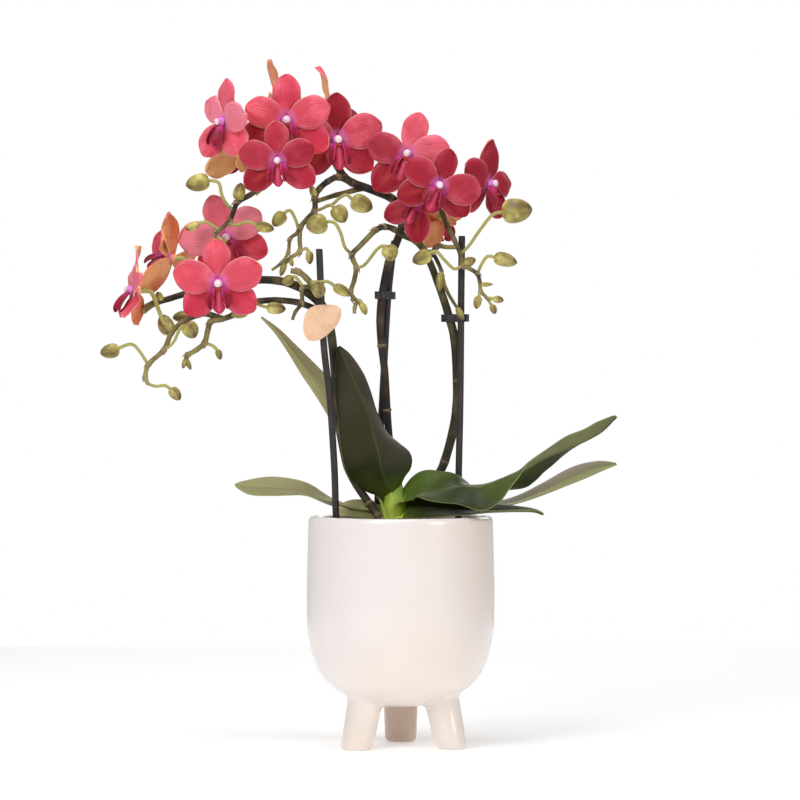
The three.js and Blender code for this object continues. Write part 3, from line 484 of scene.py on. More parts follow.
# Each station is a point on the midrib, the half width as a vector to the right-hand edge, and how
# deep the blade folds there, as a share of its half width. Pale is how pale the blade's left and
# right halves are, partly their paler green and partly painted light glowing through them. Grey is
# how much purple-grey they have, partly bloom and partly painted sheen, and fresh how green they
# stay underneath.
LEAVES = {
    "left_back": {
        "pale": (1.0, 0.55), "grey": (0.0, 1.0), "fresh": (0.3, 0.3),
        "stations": [
            (-9.5, 5.5, 137, 2, 4, 1, 0.3), (-15, 12, 146, 3, 5, 1, 0.3),
            (-22, 20, 158, 4, 6, 1, 0.3), (-30, 29, 172, 5, 6.5, 1, 0.3),
            (-37, 36, 186, 5.8, 6.5, 1, 0.3), (-44, 41, 199, 6.4, 5.5, 1.5, 0.3),
            (-52.4, 44, 210, 4.9, 3.8, 1.8, 0.3), (-62.4, 47, 223, 2.9, 2.4, 1.3, 0.3),
            (-71, 49, 233.4, 1.5, 1.4, 0.8, 0.3), (-80, 50, 241.6, 0.4, 0.4, 0.2, 0.3),
        ],
    },
    "upright": {
        "pale": (0.0, 0.0), "grey": (0.28, 0.0), "fresh": (0.25, 0.1),
        "stations": [
            (-4.5, -2, 143, -6, 0, -2, 0.5), (-7.5, -4, 147.5, -13, 1, -3, 0.35),
            (-10.6, -6, 155, -18, -1, -3, 0.3), (-13.6, -7.5, 163, -16.6, -6.5, -2, 0.5),
            (-17, -8, 173, -13.6, -8, 0, 0.7), (-20, -8, 185, -11.4, -8, 0, 0.75),
            (-24, -7, 196, -10.4, -5, 0, 0.7), (-28, -5.5, 207, -8.4, -2, 0, 0.6),
            (-32, -4, 217.5, -4.6, 0, 0, 0.5), (-34.6, -4, 224, -0.8, 0, 0, 0.3),
        ],
    },
    "right_front": {
        "pale": (0.0, 0.26), "grey": (0.0, 0.05), "fresh": (0.7, 0.95),
        "stations": [
            (2.5, -4, 140, 1, -6, -3, 0.35), (11, -8, 145, 2, -11, -6, 0.25),
            (20, -13, 144.8, 2, -14, -6, 0.2), (33, -21, 144.6, 2, -13, -4.5, -0.33),
            (44, -23, 143.7, 0.5, -14, -6.5, -0.42), (50.5, -24.2, 145.5, 2, -13.5, -4.2, -0.52),
            (56.8, -25, 147.9, 0.2, -12.6, -0.4, -0.68), (64.9, -26.7, 151.9, -1.7, -9, 3.1, -0.72),
            (70.4, -27, 155.7, -2.5, -7.2, 4.6, -0.52),
            (75.6, -26.8, 159.4, -2.4, -6.9, 4.4, -0.37), (83.6, -26, 164, -1.9, -7, 4.4, -0.11),
            (93, -24.3, 168.7, -1.6, -6.8, 3.8, 0.31), (102.7, -22.3, 173.3, -1.2, -5.9, 2.6, 0.49),
            (110.8, -21, 178, -1.2, -5, 2.3, 0.58), (117.2, -19.5, 183.2, 0, -2.4, 1.5, 0.4),
            (119.6, -18.5, 184.8, 0, -0.6, 0.4, 0.2),
        ],
    },
    "right_back": {
        "pale": (0.15, 0.46), "grey": (1.0, 0.1), "fresh": (0.4, 0.4),
        "stations": [
            (3.5, 4, 130.5, 1, -3, 0, 0.22), (11, 7, 132, 2, -5, 0, 0.22),
            (20, 11.5, 133, 3, -6, 0, 0.22), (30, 18, 133.4, 3, -6, -0.5, 0.22),
            (42, 25, 133.8, 3, -6, -0.6, 0.22), (58, 32, 134.6, 2, -6, -1, 0.22),
            (70, 37, 137.6, 2, -5.6, -1.4, 0.22), (84, 42, 143.4, 1, -5.4, -2.8, 0.22),
            (100.5, 47, 151, 1, -5, -4, 0.22), (114, 51, 155.6, 1, -3.6, -2.8, 0.22),
            (124, 53, 157.2, 0.2, -0.8, -0.5, 0.22),
        ],
    },
    "right_low": {
        "pale": (0.0, 0.1), "grey": (0.1, 0.0), "fresh": (0.5, 0.5),
        "stations": [
            (2.5, -4, 132, 1, -5, -4, 0.2), (12, -9, 134.4, 2, -8, -6, 0.2),
            (22, -13, 134.4, 2, -9, -6, 0.2), (36, -18, 133.4, 2, -9, -4, 0.2),
            (50, -22, 133.2, 1, -8, -2, 0.2), (64, -25, 133.4, 1, -5, -1, 0.2),
            (74, -26.5, 133, 0.6, -2.4, -0.3, 0.2), (79, -27, 131, 0.1, -0.9, 0, 0.2),
        ],
    },
    "left_low": {
        "pale": (0.72, 0.8), "grey": (0.0, 0.1), "fresh": (0.5, 0.5),
        "stations": [
            (-8.5, 4, 128.5, -1, 4, 0, 0.2), (-15, 9, 129.8, -3, 6, 0, 0.2),
            (-27, 17, 132, -4, 7.5, 1, 0.2), (-41, 25, 136.4, -4, 8, 2, 0.2),
            (-56, 33, 142, -3, 8, 3.3, 0.2), (-72, 40, 144, -2, 7, 4.5, 0.15),
            (-84.4, 45, 144.1, -1, 5, 4.2, 0.15), (-92, 47.5, 145, -0.2, 2.4, 2.1, 0.15),
            (-95, 48.2, 145.6, -0.1, 0.4, 0.3, 0.2),
        ],
    },
    "back": {
        "pale": (0.8, 0.95), "grey": (0.0, 0.2), "fresh": (0.5, 0.5),
        "stations": [
            (-9, 4, 129, -1, 2.6, 2.4, 0.2), (-17, 6.5, 131.6, -1, 3.6, 4.4, 0.2),
            (-26, 9.5, 132.6, -1, 4.2, 4.6, 0.2), (-33, 10.5, 131.6, 0, 3, 3.6, 0.2),
            (-38, 11, 130.4, 0, 0.8, 0.6, 0.2),
        ],
    },
}
PALE_BELOW = ("right_front",)  # only the under side of these is pale, with painted light glowing through it
LEAF_TOP = (72, 88, 34)
LEAF_TOP_DARK = (34, 46, 16)
LEAF_UNDER = (52, 44, 27)
LEAF_UNDER_DARK = (26, 22, 8)
# Purple-grey of the leaves' bloom, which also serves as painted sheen.
LEAF_SHEEN_GREY = (144, 127, 130)
# Pale yellow-green of veins and streaks, and of the painted light glowing through the blades.
LEAF_PALE = (200, 194, 140)
LEAF_MARGIN = (146, 158, 96)
LEAF_BASE = (98, 122, 38)


def sheet(grid, thickness):
    """A closed sheet over a grid of points, rows along it and columns across it, thinner at its
    edges. Returns corners, faces, and per corner how far along and across it is and whether it is
    on the under side."""
    rows, columns = len(grid), len(grid[0])
    upper, lower, along, across = [], [], [], []
    for i, row in enumerate(grid):
        for j, point in enumerate(row):
            side = row[min(j + 1, columns - 1)] - row[max(j - 1, 0)]
            ahead = grid[min(i + 1, rows - 1)][j] - grid[max(i - 1, 0)][j]
            normal = side.cross(ahead)
            normal = normal.normalized() if normal.length > 1e-9 else Vector((0, 0, 1))
            u, v = i / (rows - 1), 2 * j / (columns - 1) - 1
            rim = max(0.0, 1 - abs(v) ** 6) * max(0.0, 1 - u**12)
            half = thickness / 2 * (SHEET_EDGE + (1 - SHEET_EDGE) * sqrt(rim))
            upper.append(point + normal * half)
            lower.append(point - normal * half)
            along.append(u)
            across.append(v)
    count = rows * columns
    faces = []
    for i in range(rows - 1):
        for j in range(columns - 1):
            a = i * columns + j
            b, c, d = a + 1, a + columns + 1, a + columns
            faces.append((a, b, c, d))
            faces.append((count + a, count + d, count + c, count + b))
    border = list(range(columns))
    border += [i * columns + columns - 1 for i in range(1, rows)]
    border += [(rows - 1) * columns + j for j in range(columns - 2, -1, -1)]
    border += [i * columns for i in range(rows - 2, 0, -1)]
    for a, b in zip(border, border[1:] + border[:1]):
        faces.append((b, a, count + a, count + b))
    paint = {"along": along * 2, "across": across * 2, "under": [0.0] * count + [1.0] * count}
    return upper + lower, faces, paint


def leaf_grid(leaf):
    """Rows of points across a leaf, folded along its midrib, with a fine groove over it."""
    line = smooth_line(leaf["stations"], LEAF_STEPS)
    grid = []
    for k, station in enumerate(line):
        middle, wanted, trough = Vector(station[:3]), Vector(station[3:6]), station[6]
        ahead = Vector(line[min(k + 1, len(line) - 1)][:3]) - Vector(line[max(k - 1, 0)][:3])
        ahead.normalize()
        half = wanted.length
        across = (wanted - ahead * wanted.dot(ahead)).normalized() * half
        up = across.cross(ahead).normalized()
        row = []
        for j in range(LEAF_COLUMNS):
            side = 2 * j / (LEAF_COLUMNS - 1) - 1
            groove = LEAF_GROOVE * exp(-((side / GROOVE_WIDTH) ** 2))
            rise = trough * half * (abs(side) ** FOLD_CURVE - FOLD_DROP) - groove
            row.append(middle + across * side + up * rise)
        grid.append(row)
    return grid


leather = Finish("orchid_leaf")
along = leather.painted("along")
across = leather.painted("across")
aside = across * across
under = leather.painted("under")
broad = leather.noise(28, 3)
vein = (across * 80 + leather.noise(40, 2) * 2.5).wave().step(0.2, 1.0)
midrib = aside.step(0.0012, 0.0)
margin = aside.step(0.955, 0.995)
top = leather.blend(broad.step(0.35, 0.65), LEAF_TOP_DARK, LEAF_TOP)
below = leather.blend(broad.step(0.3, 0.75), LEAF_UNDER_DARK, LEAF_UNDER)
aged = (1 - leather.painted("fresh")) * (1 - 0.6 * along.step(0.42, 0.12))
# Purple-grey bloom with painted sheen, stronger towards the edges and away from the base.
bloom_and_sheen = along.step(0.1, 0.4) * (0.35 + 0.45 * aside.step(0.1, 0.9))
# Painted light: the pale glow through the blade, stronger towards the tip.
lit = 0.35 + 0.5 * along.step(0.2, 0.65)
leaf_material = leather.surface(
    Base_Color=leather.coats(
        top,
        (under * aged, below),
        # purple-grey bloom and painted sheen
        (leather.painted("grey") * bloom_and_sheen, LEAF_SHEEN_GREY),
        # pale: the blade's paler green and painted light glowing through it
        (leather.painted("pale") * lit, LEAF_PALE),
        (vein * (1 - under) * 0.03, LEAF_PALE),
        (midrib * (0.1 + 0.2 * (1 - under)), LEAF_MARGIN),
        (margin * 0.6, LEAF_MARGIN),
        ((along + broad * 0.12).step(0.26, 0.03) * 0.6, LEAF_BASE),
    ),
    Roughness=0.36 + 0.14 * broad + 0.1 * under,
    Specular_IOR_Level=0.16,
    Normal=leather.bump(leather.noise(700, 2) * 0.3, 0.1),
    Subsurface_Weight=0.08,
    Subsurface_Radius=(0.001, 0.003, 0.0005),
)
for name, leaf in LEAVES.items():
    corners, faces, paint = sheet(leaf_grid(leaf), LEAF_THICKNESS)
    halves = [min(1, max(0, 0.5 + 4 * side)) for side in paint["across"]]
    for tone in ("pale", "grey", "fresh"):
        left, right = leaf[tone]
        paint[tone] = [left + (right - left) * share for share in halves]
    if name in PALE_BELOW:
        paint["pale"] = [value * share for value, share in zip(paint["pale"], paint["under"])]
    skin = Skin()
    skin.patch(corners, faces, **paint)
    skin.piece(f"blade_{name}", leaf_material, f"leaf_{name}")


# ----------------------------------------------------------------------------------------- crown
# Crown: the short stem that the leaves grow from, hidden in their folded sheaths. The sheaths are
# fleshy and bright lime green, and an old one has dried to a brown papery edge.
CROWN_AT = (-6.2, 0.4)
CROWN_LEAN = 3.4  # how far its top stands to the right of its foot
CROWN_FOOT, CROWN_TOP = 112, 139
CROWN_RINGS = ((CROWN_FOOT, 4), (120, 4.6), (128, 4.8), (134, 4), (CROWN_TOP, 2))
CROWN_SIDES = 24
# From the outermost sheath to the innermost.
SHEATHS = ["right_low", "left_low", "right_back", "back", "left_back", "right_front", "upright"]
DRY_SHEATHS = ("upright", "back")
SHEATH_RADIUS = 7.6  # of the outermost one
SHEATH_STEP = 0.35  # how much smaller the next one in is
SHEATH_WRAP = 105  # degrees that it goes round the crown to either side
SHEATH_OPENS = 0.45  # how far up it starts to open into its leaf
SHEATH_BELOW = 1.5  # how far under its leaf's root it stops rising
SHEATH_TUCK = 0.8  # how far its inside lies behind that root
SHEATH_ROWS = 14
SHEATH_THICKNESS = 1.6
LIME = (172, 196, 60)
LIME_DEEP = (104, 140, 40)
DRY_EDGE = (142, 112, 78)


def crown_axis(height):
    share = (height - CROWN_FOOT) / (CROWN_TOP - CROWN_FOOT)
    return Vector((CROWN_AT[0] + CROWN_LEAN * share, CROWN_AT[1], height))


crown = Skin()
crown.patch(*ring_patch([
    [crown_axis(height) + Vector(corner) for corner in circle(radius, 0, CROWN_SIDES)]
    for height, radius in CROWN_RINGS
]))
half_way = LEAF_COLUMNS // 2
for order, name in enumerate(SHEATHS):
    grid = leaf_grid(LEAVES[name])
    first, second = grid[:2]
    middle = first[half_way]
    back = (second[half_way] - middle).normalized()
    out = (grid[2 * LEAF_STEPS][half_way] - crown_axis(middle.z)).to_2d().normalized().to_3d()
    tangent = Vector((-out.y, out.x, 0))
    if tangent.dot((first[-1] - first[0]).normalized()) < 0:
        tangent = -tangent
    foot = CROWN_FOOT + order
    rows = []
    for k in range(SHEATH_ROWS):
        share = k / (SHEATH_ROWS - 1)
        height = foot + (middle.z - SHEATH_BELOW - foot) * min(1, share * 1.15)
        flare = (SHEATH_RADIUS - SHEATH_STEP * order) * (1 + 0.1 * share)
        ease = max(0.0, (share - SHEATH_OPENS) / (1 - SHEATH_OPENS))
        ease = ease * ease * (3 - 2 * ease)
        row = []
        for j, point in enumerate(first):
            turn = radians(SHEATH_WRAP) * (2 * j / (LEAF_COLUMNS - 1) - 1)
            wrap = crown_axis(height) + (out * cos(turn) + tangent * sin(turn)) * flare
            row.append(wrap.lerp(point - back * SHEATH_TUCK * (1 - share), ease))
        rows.append(row)
    corners, faces, paint = sheet(rows, SHEATH_THICKNESS)
    crown.patch(corners, faces, dry=0.7 if name in DRY_SHEATHS else 0.1, **paint)

flesh = Finish("leaf_sheath")
across = flesh.painted("across")
edge = (across * across).step(0.75, 1.0)
streak = (across * 40).wave()
sheath_material = flesh.surface(
    Base_Color=flesh.coats(
        LIME,
        (flesh.noise(70, 3).step(0.35, 0.7), LIME_DEEP),
        (streak.step(0.3, 1) * 0.15, LEAF_PALE),
        (edge * flesh.painted("dry"), DRY_EDGE),
    ),
    Roughness=0.4 + 0.2 * flesh.noise(90, 2),
    Normal=flesh.bump(streak * 0.3 + flesh.noise(300, 2) * 0.5, 0.15),
    Subsurface_Weight=0.2,
    Subsurface_Radius=(0.002, 0.004, 0.001),
)
crown.piece("crown_sheaths", sheath_material, "crown")


# ---------------------------------------------------------------------------------------- stakes
# Stakes: three thin dark rods of extruded plastic, pushed into the bark beside the spikes, cut
# square at the top. They bow slightly under the load of the flowers.
STAKE_RADIUS = 1.9
STAKE_STEPS = 8
STAKE_SIDES = 16
STAKE_BEVEL = (0.35, 0.4)  # in from the side and down from the top
STAKES = {
    "left": [
        (-33, -3, 100), (-36, -6, 128), (-37, -8, 156), (-39.5, -10.5, 195), (-43, -12.5, 227),
        (-45.3, -15, 278),
    ],
    "middle": [
        (-15.3, 26.2, 100), (-13.5, 25.5, 130), (-11, 21.5, 183), (-9.5, 19, 211),
        (-7, 16.4, 253.6), (-3.5, 14.6, 284),
    ],
    "right": [
        (31.5, 7, 100), (32.4, 6, 127), (32.4, 5.5, 144), (33.4, 4.5, 194), (33.9, 3, 250),
        (34.3, 2, 286),
    ],
}
STAKE_BLACK = (30, 24, 23)
STAKE_BROWN = (54, 43, 39)


def tube(line, radii, sides):
    """A closed round tube along a line of points, with a radius at each."""
    line = [Vector(point) for point in line]
    last = len(line) - 1
    normal = Vector((0.9, -0.3, 0.1))
    rings = []
    for k, point in enumerate(line):
        ahead = (line[min(k + 1, last)] - line[max(k - 1, 0)]).normalized()
        normal = (normal - ahead * normal.dot(ahead)).normalized()
        other = ahead.cross(normal)
        rings.append([
            point + (normal * cos(turn) + other * sin(turn)) * radii[k] for turn in turns(sides)
        ])
    return ring_patch(rings)


rod = Finish("stake_plastic")
rod_streaks = rod.noise(120, 3)
stake_material = rod.surface(
    Base_Color=rod.blend(rod_streaks.step(0.45, 0.75), STAKE_BLACK, STAKE_BROWN),
    Roughness=0.42 + 0.2 * rod_streaks,
    Normal=rod.bump(rod.noise(500, 2), 0.1),
)
for side, points in STAKES.items():
    inset, depth = STAKE_BEVEL
    tip = Vector(points[-1])
    line = smooth_line(points, STAKE_STEPS)[:-1] + [tip - Vector((0, 0, depth)), tip]
    radii = [STAKE_RADIUS] * (len(line) - 1) + [STAKE_RADIUS - inset]
    skin = Skin()
    skin.patch(*tube(line, radii, STAKE_SIDES))
    skin.piece(f"rod_{side}", stake_material, f"stake_{side}")


# ---------------------------------------------------------------------------------------- spikes
# Flower spikes: woody dark stems with ringed nodes and papery bracts, zigzag twigs that get greener
# to their tips, pale flower stalks, and egg-shaped buds with three seams and a brown blush.

# Each shoot is [root radius, tip radius, points], the stem first. Each bud is [base, tip, width,
# points of its stalk]. Tint is how green a stem's bark is, and collars are the points of the stem
# where an old leaf has left a ring.
SPIKES = {
    "left": {
        "tint": 0.5, "collars": [3],
        "shoots": [
            [2.2, 1.6, [
                (-11, -8, 112), (-11, -8, 124), (-13, -6.5, 129.5), (-17.5, -2, 136),
                (-24.5, 4, 146), (-30, 9, 157), (-34, 13, 176), (-36, 12, 194), (-37, 7, 211),
                (-38.5, 1, 227.6), (-40.7, -3, 240), (-44.6, -4, 247.5), (-52, -5, 254),
                (-59, -6, 258), (-68.7, -7, 260.6), (-80, -7, 261), (-92, -6, 259.8),
                (-105.7, -5, 256.7), (-120, -5, 253.4), (-129, -6, 250.6), (-135.5, -7, 248.6),
                (-141.3, -8, 245.7),
            ]],
            [1.9, 2.1, [(-137.4, -7, 248.2), (-141, -8, 246), (-144, -8, 243.4)]],
            [1.8, 1.4, [
                (-42.4, -4, 243), (-49, -4, 245.5), (-58, -5, 248.6), (-69.3, -6, 249.7),
                (-79.4, -7, 249), (-87, -8, 246), (-93.6, -9, 241.3), (-100, -9, 239),
                (-105.7, -9, 237.7), (-107.6, -9, 232.6), (-109.3, -9, 226), (-113.8, -9, 222),
                (-118.3, -9, 219.3), (-119.8, -9, 216.7),
            ]],
            [1.6, 1.2, [
                (-99, -9, 239.3), (-106, -8, 241.5), (-112.4, -8, 241.6), (-122, -10, 237),
                (-127.8, -12, 231), (-131.7, -13, 222), (-140, -14, 214), (-142, -14, 207),
                (-140.4, -14, 202.7),
            ]],
            [1.8, 1.5, [
                (-46, -4, 249), (-48.6, -9, 256.7), (-52.5, -11, 261.8), (-56.4, -12, 265),
                (-61.2, -12, 266),
            ]],
            [1.3, 0.9, [
                (-49, -9, 257), (-54.7, -12, 256.4), (-55, -13, 248.3), (-58.6, -13, 243),
                (-60.3, -13, 238.5),
            ]],
        ],
        "buds": [
            [(-156.4, -16, 222.5), (-167, -16, 220), 8.4, [
                (-140.7, -14, 214), (-145.4, -15, 221.4), (-150, -16, 225),
            ]],
            [(-128, -15, 200.4), (-122.6, -15, 194), 6.4, [
                (-140.7, -14, 203), (-136, -15, 201.6), (-131, -15, 202),
            ]],
            [(-119, -17.5, 236.8), (-114.2, -18, 228.4), 9.2, [
                (-131.4, -13, 222), (-126.4, -15, 226), (-122.3, -17, 234),
            ]],
            [(-128.3, -11.5, 231), (-133.4, -8, 241.5), 9.2, []],
            [(-116, -7, 241.2), (-127.5, -4, 240), 6.7, []],
            [(-102, -11, 222), (-100.4, -11, 216.4), 3.9, [(-109.3, -9, 226), (-104.5, -10, 224)]],
            [(-119.8, -9.3, 217), (-121.4, -10, 211.5), 2.8, []],
            [(-119.6, -9, 217), (-117, -8, 210.8), 2.8, []],
            [(-74.6, -9, 245.4), (-64, -9, 244.6), 7, [(-82, -7, 248.6), (-77.7, -9, 246.6)]],
            [(-85, -11, 243.4), (-94.5, -12, 241), 5.6, [(-83.3, -7.5, 248)]],
            [(-133.3, -7.5, 249.8), (-135.8, -10, 254.2), 4.2, []],
            [(-60, -14, 262.4), (-66, -14, 258.3), 5.9, [
                (-54, -11.8, 256.6), (-58.5, -13.5, 262.4),
            ]],
            [(-46.8, -19, 257.5), (-44.2, -25, 251.5), 8.1, [
                (-49, -9, 257), (-49.6, -14, 259.6), (-48.6, -18, 259.4),
            ]],
            [(-37.2, -14, 257.2), (-28, -14, 252.3), 6.2, [
                (-48.8, -17, 259.5), (-44, -19, 259.6), (-40, -17, 259.6),
            ]],
        ],
    },
    "middle": {
        "tint": 0.0, "collars": [5, 7],
        "shoots": [
            [2.1, 1.15, [
                (1, 18, 112), (1, 18, 122), (-1, 18.5, 132.4), (-4.3, 19, 152), (-6.4, 17.5, 171.6),
                (-7.7, 15.5, 188.4), (-9, 12.3, 209.7), (-10.8, 11, 224.8), (-11.6, 11, 238.8),
                (-10.5, 11.5, 252.8), (-6.8, 10, 271.3), (-2, 9.3, 283.6), (1, 9, 293.7),
                (-0.7, 7, 303.2), (-5.4, 5, 307.4), (-12.7, 3.5, 310.5), (-19.4, 2.5, 313),
                (-27, 2, 315.8), (-31.8, 2, 319.2), (-34.8, 3, 324), (-39, 5, 330), (-45.8, 7, 335),
                (-53.6, 8, 337.4), (-61.4, 7, 336.8), (-69.3, 3, 332.6), (-74.9, -3, 325),
                (-77.7, -8, 317.8), (-79.4, -11, 311.6), (-85, -13, 307.4), (-90.6, -14, 304),
                (-92.8, -14, 299.3), (-94.8, -14, 294.2), (-98.4, -14, 290.6), (-101.5, -14, 288),
                (-102.6, -14, 283.9),
            ]],
            [1.8, 1.0, [
                (-27.8, 1.5, 315.8), (-34.8, -3, 318.6), (-40.7, -6, 316), (-45.2, -8, 311.9),
                (-47.7, -9, 307), (-48, -10, 299.6), (-52.2, -10, 294.8), (-55.7, -10, 290.3),
                (-56.3, -10, 283.6), (-56.4, -10, 277), (-61.4, -10, 273.2), (-64.5, -10, 270),
            ]],
            [1.4, 1.3, [(-19, 3, 312.8), (-27.3, 3.5, 311.3), (-36.2, 0, 308.8), (-46.5, -8, 305)]],
            [1.1, 0.8, [
                (-55.6, -10, 290), (-58, -11, 286.7), (-61.6, -12, 283.6), (-62.6, -12.5, 276.3),
                (-66, -13, 270.7), (-71.8, -13, 266.2),
            ]],
        ],
        "buds": [
            [(-47.8, -9, 307.5), (-50, -10.5, 313.5), 4.2, []],
            [(-36.8, -14, 301.5), (-30.8, -14.5, 292.8), 9.5, [
                (-48.4, -9.8, 299.3), (-44, -12, 300.4), (-39.5, -14, 302.4),
            ]],
            [(-27.7, -7, 305.4), (-15.7, -7, 300.7), 10.4, [
                (-41.5, -13, 301.8), (-38, -10.5, 303), (-33.7, -8, 307), (-30, -7, 308.4),
            ]],
            [(-65, -13, 298.3), (-71, -13, 290.8), 7.6, [
                (-57, -10, 288.6), (-58.2, -12, 293.4), (-61.5, -13, 299.4),
            ]],
            [(-51, -12, 277), (-50.6, -12, 269.5), 4.5, [(-56.4, -10, 276.5), (-52.8, -12, 278.4)]],
            [(-64.5, -10, 270.8), (-67, -10, 263), 3.6, []],
            [(-61.8, -10, 273.4), (-60.3, -8, 268.5), 2.8, []],
            [(-90.4, -16, 305), (-88.4, -17, 314.6), 7, []],
            [(-106.5, -15, 316.5), (-119.5, -15.5, 313.3), 10, [
                (-92.8, -14, 299.5), (-97, -14, 303), (-99.5, -15, 308.2), (-101.5, -15, 315),
            ]],
            [(-112.5, -16, 291.6), (-119.6, -16, 289), 5, [
                (-100.6, -14, 288.6), (-105, -15, 291.2), (-108.8, -16, 293),
            ]],
            [(-80.5, -17, 290.8), (-70.3, -17, 288.7), 6.2, [
                (-96.2, -14, 292.6), (-91.7, -16, 291.2), (-85, -17, 293),
            ]],
            [(-102.6, -13.7, 284.4), (-105.8, -13, 278), 3.6, []],
            [(-99, -16, 283), (-98.2, -16, 276.9), 3.6, [(-102.4, -14, 285.5)]],
        ],
    },
    "right": {
        "tint": 1.0, "collars": [5, 8],
        "shoots": [
            [2.2, 1.8, [
                (10, 20, 112), (10, 20, 122), (10.5, 20, 131), (14, 19.5, 141.4), (21, 18.5, 151.6),
                (24.8, 17.5, 159.3), (29.3, 15.5, 175.7), (31.5, 13.5, 189.5), (31.8, 11, 205.2),
                (30.4, 8.5, 227.6), (27.2, 7, 240.5), (24, 6, 251), (20.3, 5, 261.2),
                (16.9, 4, 270), (13, 3, 278), (8.6, 3, 283),
            ]],
            [1.8, 1.0, [
                (12.5, 3, 278.6), (8.6, 2, 283), (2, -1, 286), (-3.8, -3, 289.5), (-8.8, -4, 290.8),
                (-13.8, -5, 289), (-18.9, -6, 284), (-23, -6.5, 279.7), (-27, -7, 275.5),
                (-26.4, -7, 271.8), (-24.9, -7, 268), (-25.9, -7, 261), (-27.8, -7, 254.8),
                (-26.4, -7, 251), (-24.5, -7, 249.2), (-25.7, -7, 245.5), (-25.8, -7, 242.2),
            ]],
            [1.8, 1.4, [
                (11.2, 3, 280.2), (9, 8, 289.2), (11.4, 13, 299.3), (15.3, 15, 307),
                (22, 15, 311.6), (29, 13, 311.4), (36, 9, 310.6),
            ]],
            [1.5, 0.9, [
                (20.9, 15, 311.3), (22.6, 13, 302), (25.9, 7, 293), (30, -0.5, 283.6),
                (33.4, -3, 275.8), (34.5, -3.5, 269.6), (38.5, -4, 267.4), (42.7, -4, 264.6),
                (44.2, -4, 260), (44.7, -4, 255), (47.5, -4, 251.7), (49.7, -4, 249),
            ]],
            [1.2, 0.9, [
                (13.5, 3, 278), (18, -2, 275.8), (20.6, -3, 271.3), (22.7, -4, 266.2),
                (23.8, -4.5, 260.6), (25.4, -5, 255.9), (28.2, -5.5, 250.6), (31.5, -6, 245.5),
            ]],
            [1.5, 1.2, [(15.6, 3.8, 273), (20.3, 6, 280), (25.9, 2, 279.7), (31.5, -2, 279.5)]],
        ],
        "buds": [
            [(-41, -18, 293.4), (-52.5, -19, 290), 11.5, [
                (-27, -7, 275.5), (-31, -10, 279), (-33.5, -14, 287), (-37, -17, 292.5),
            ]],
            [(-7, -16.5, 277.4), (-4.5, -25, 273.5), 9.2, [
                (-25, -7, 267.8), (-20, -9, 269.5), (-13, -13, 278), (-9, -16, 279.6),
            ]],
            [(-21.8, -8, 247.9), (-19.4, -8, 241.5), 4.2, [(-25, -7, 249.6), (-22.6, -8, 249.4)]],
            [(16.6, -9, 275.8), (6.6, -8, 271), 8.4, [
                (34.3, -3.5, 269.4), (30, -5, 267.2), (24.5, -7, 272), (19.6, -9, 277),
            ]],
            [(22.7, -4.4, 265.5), (21.3, -9, 254.5), 4.5, []],
            [(31.4, -6, 245.7), (35, -9, 238.5), 3.6, []],
            [(56.5, -8, 298.4), (73.5, -8, 300.4), 14.2, [
                (33.4, -3, 275.8), (38, -5, 280), (44, -7, 288.5), (51.5, -8, 297.5),
            ]],
            [(52, -7, 273.6), (65, -7, 270.4), 8.1, [
                (43, -4, 264.4), (45, -6, 269.5), (48.6, -7, 274.2),
            ]],
            [(44.5, -4, 258.4), (51.5, -5, 258.6), 2.5, []],
            [(43.6, -5, 252), (42.2, -6, 244.8), 4.7, [(44.5, -4.4, 255.4)]],
            [(50.8, -4, 247.2), (52.8, -4, 242), 4, [(49.3, -4, 249.4)]],
            [(51.6, -4, 250.6), (57.6, -4, 249.6), 4.4, [(48, -4, 251.2)]],
            [(34.6, -3, 269.6), (42, 1, 273), 5.6, []],
        ],
    },
}
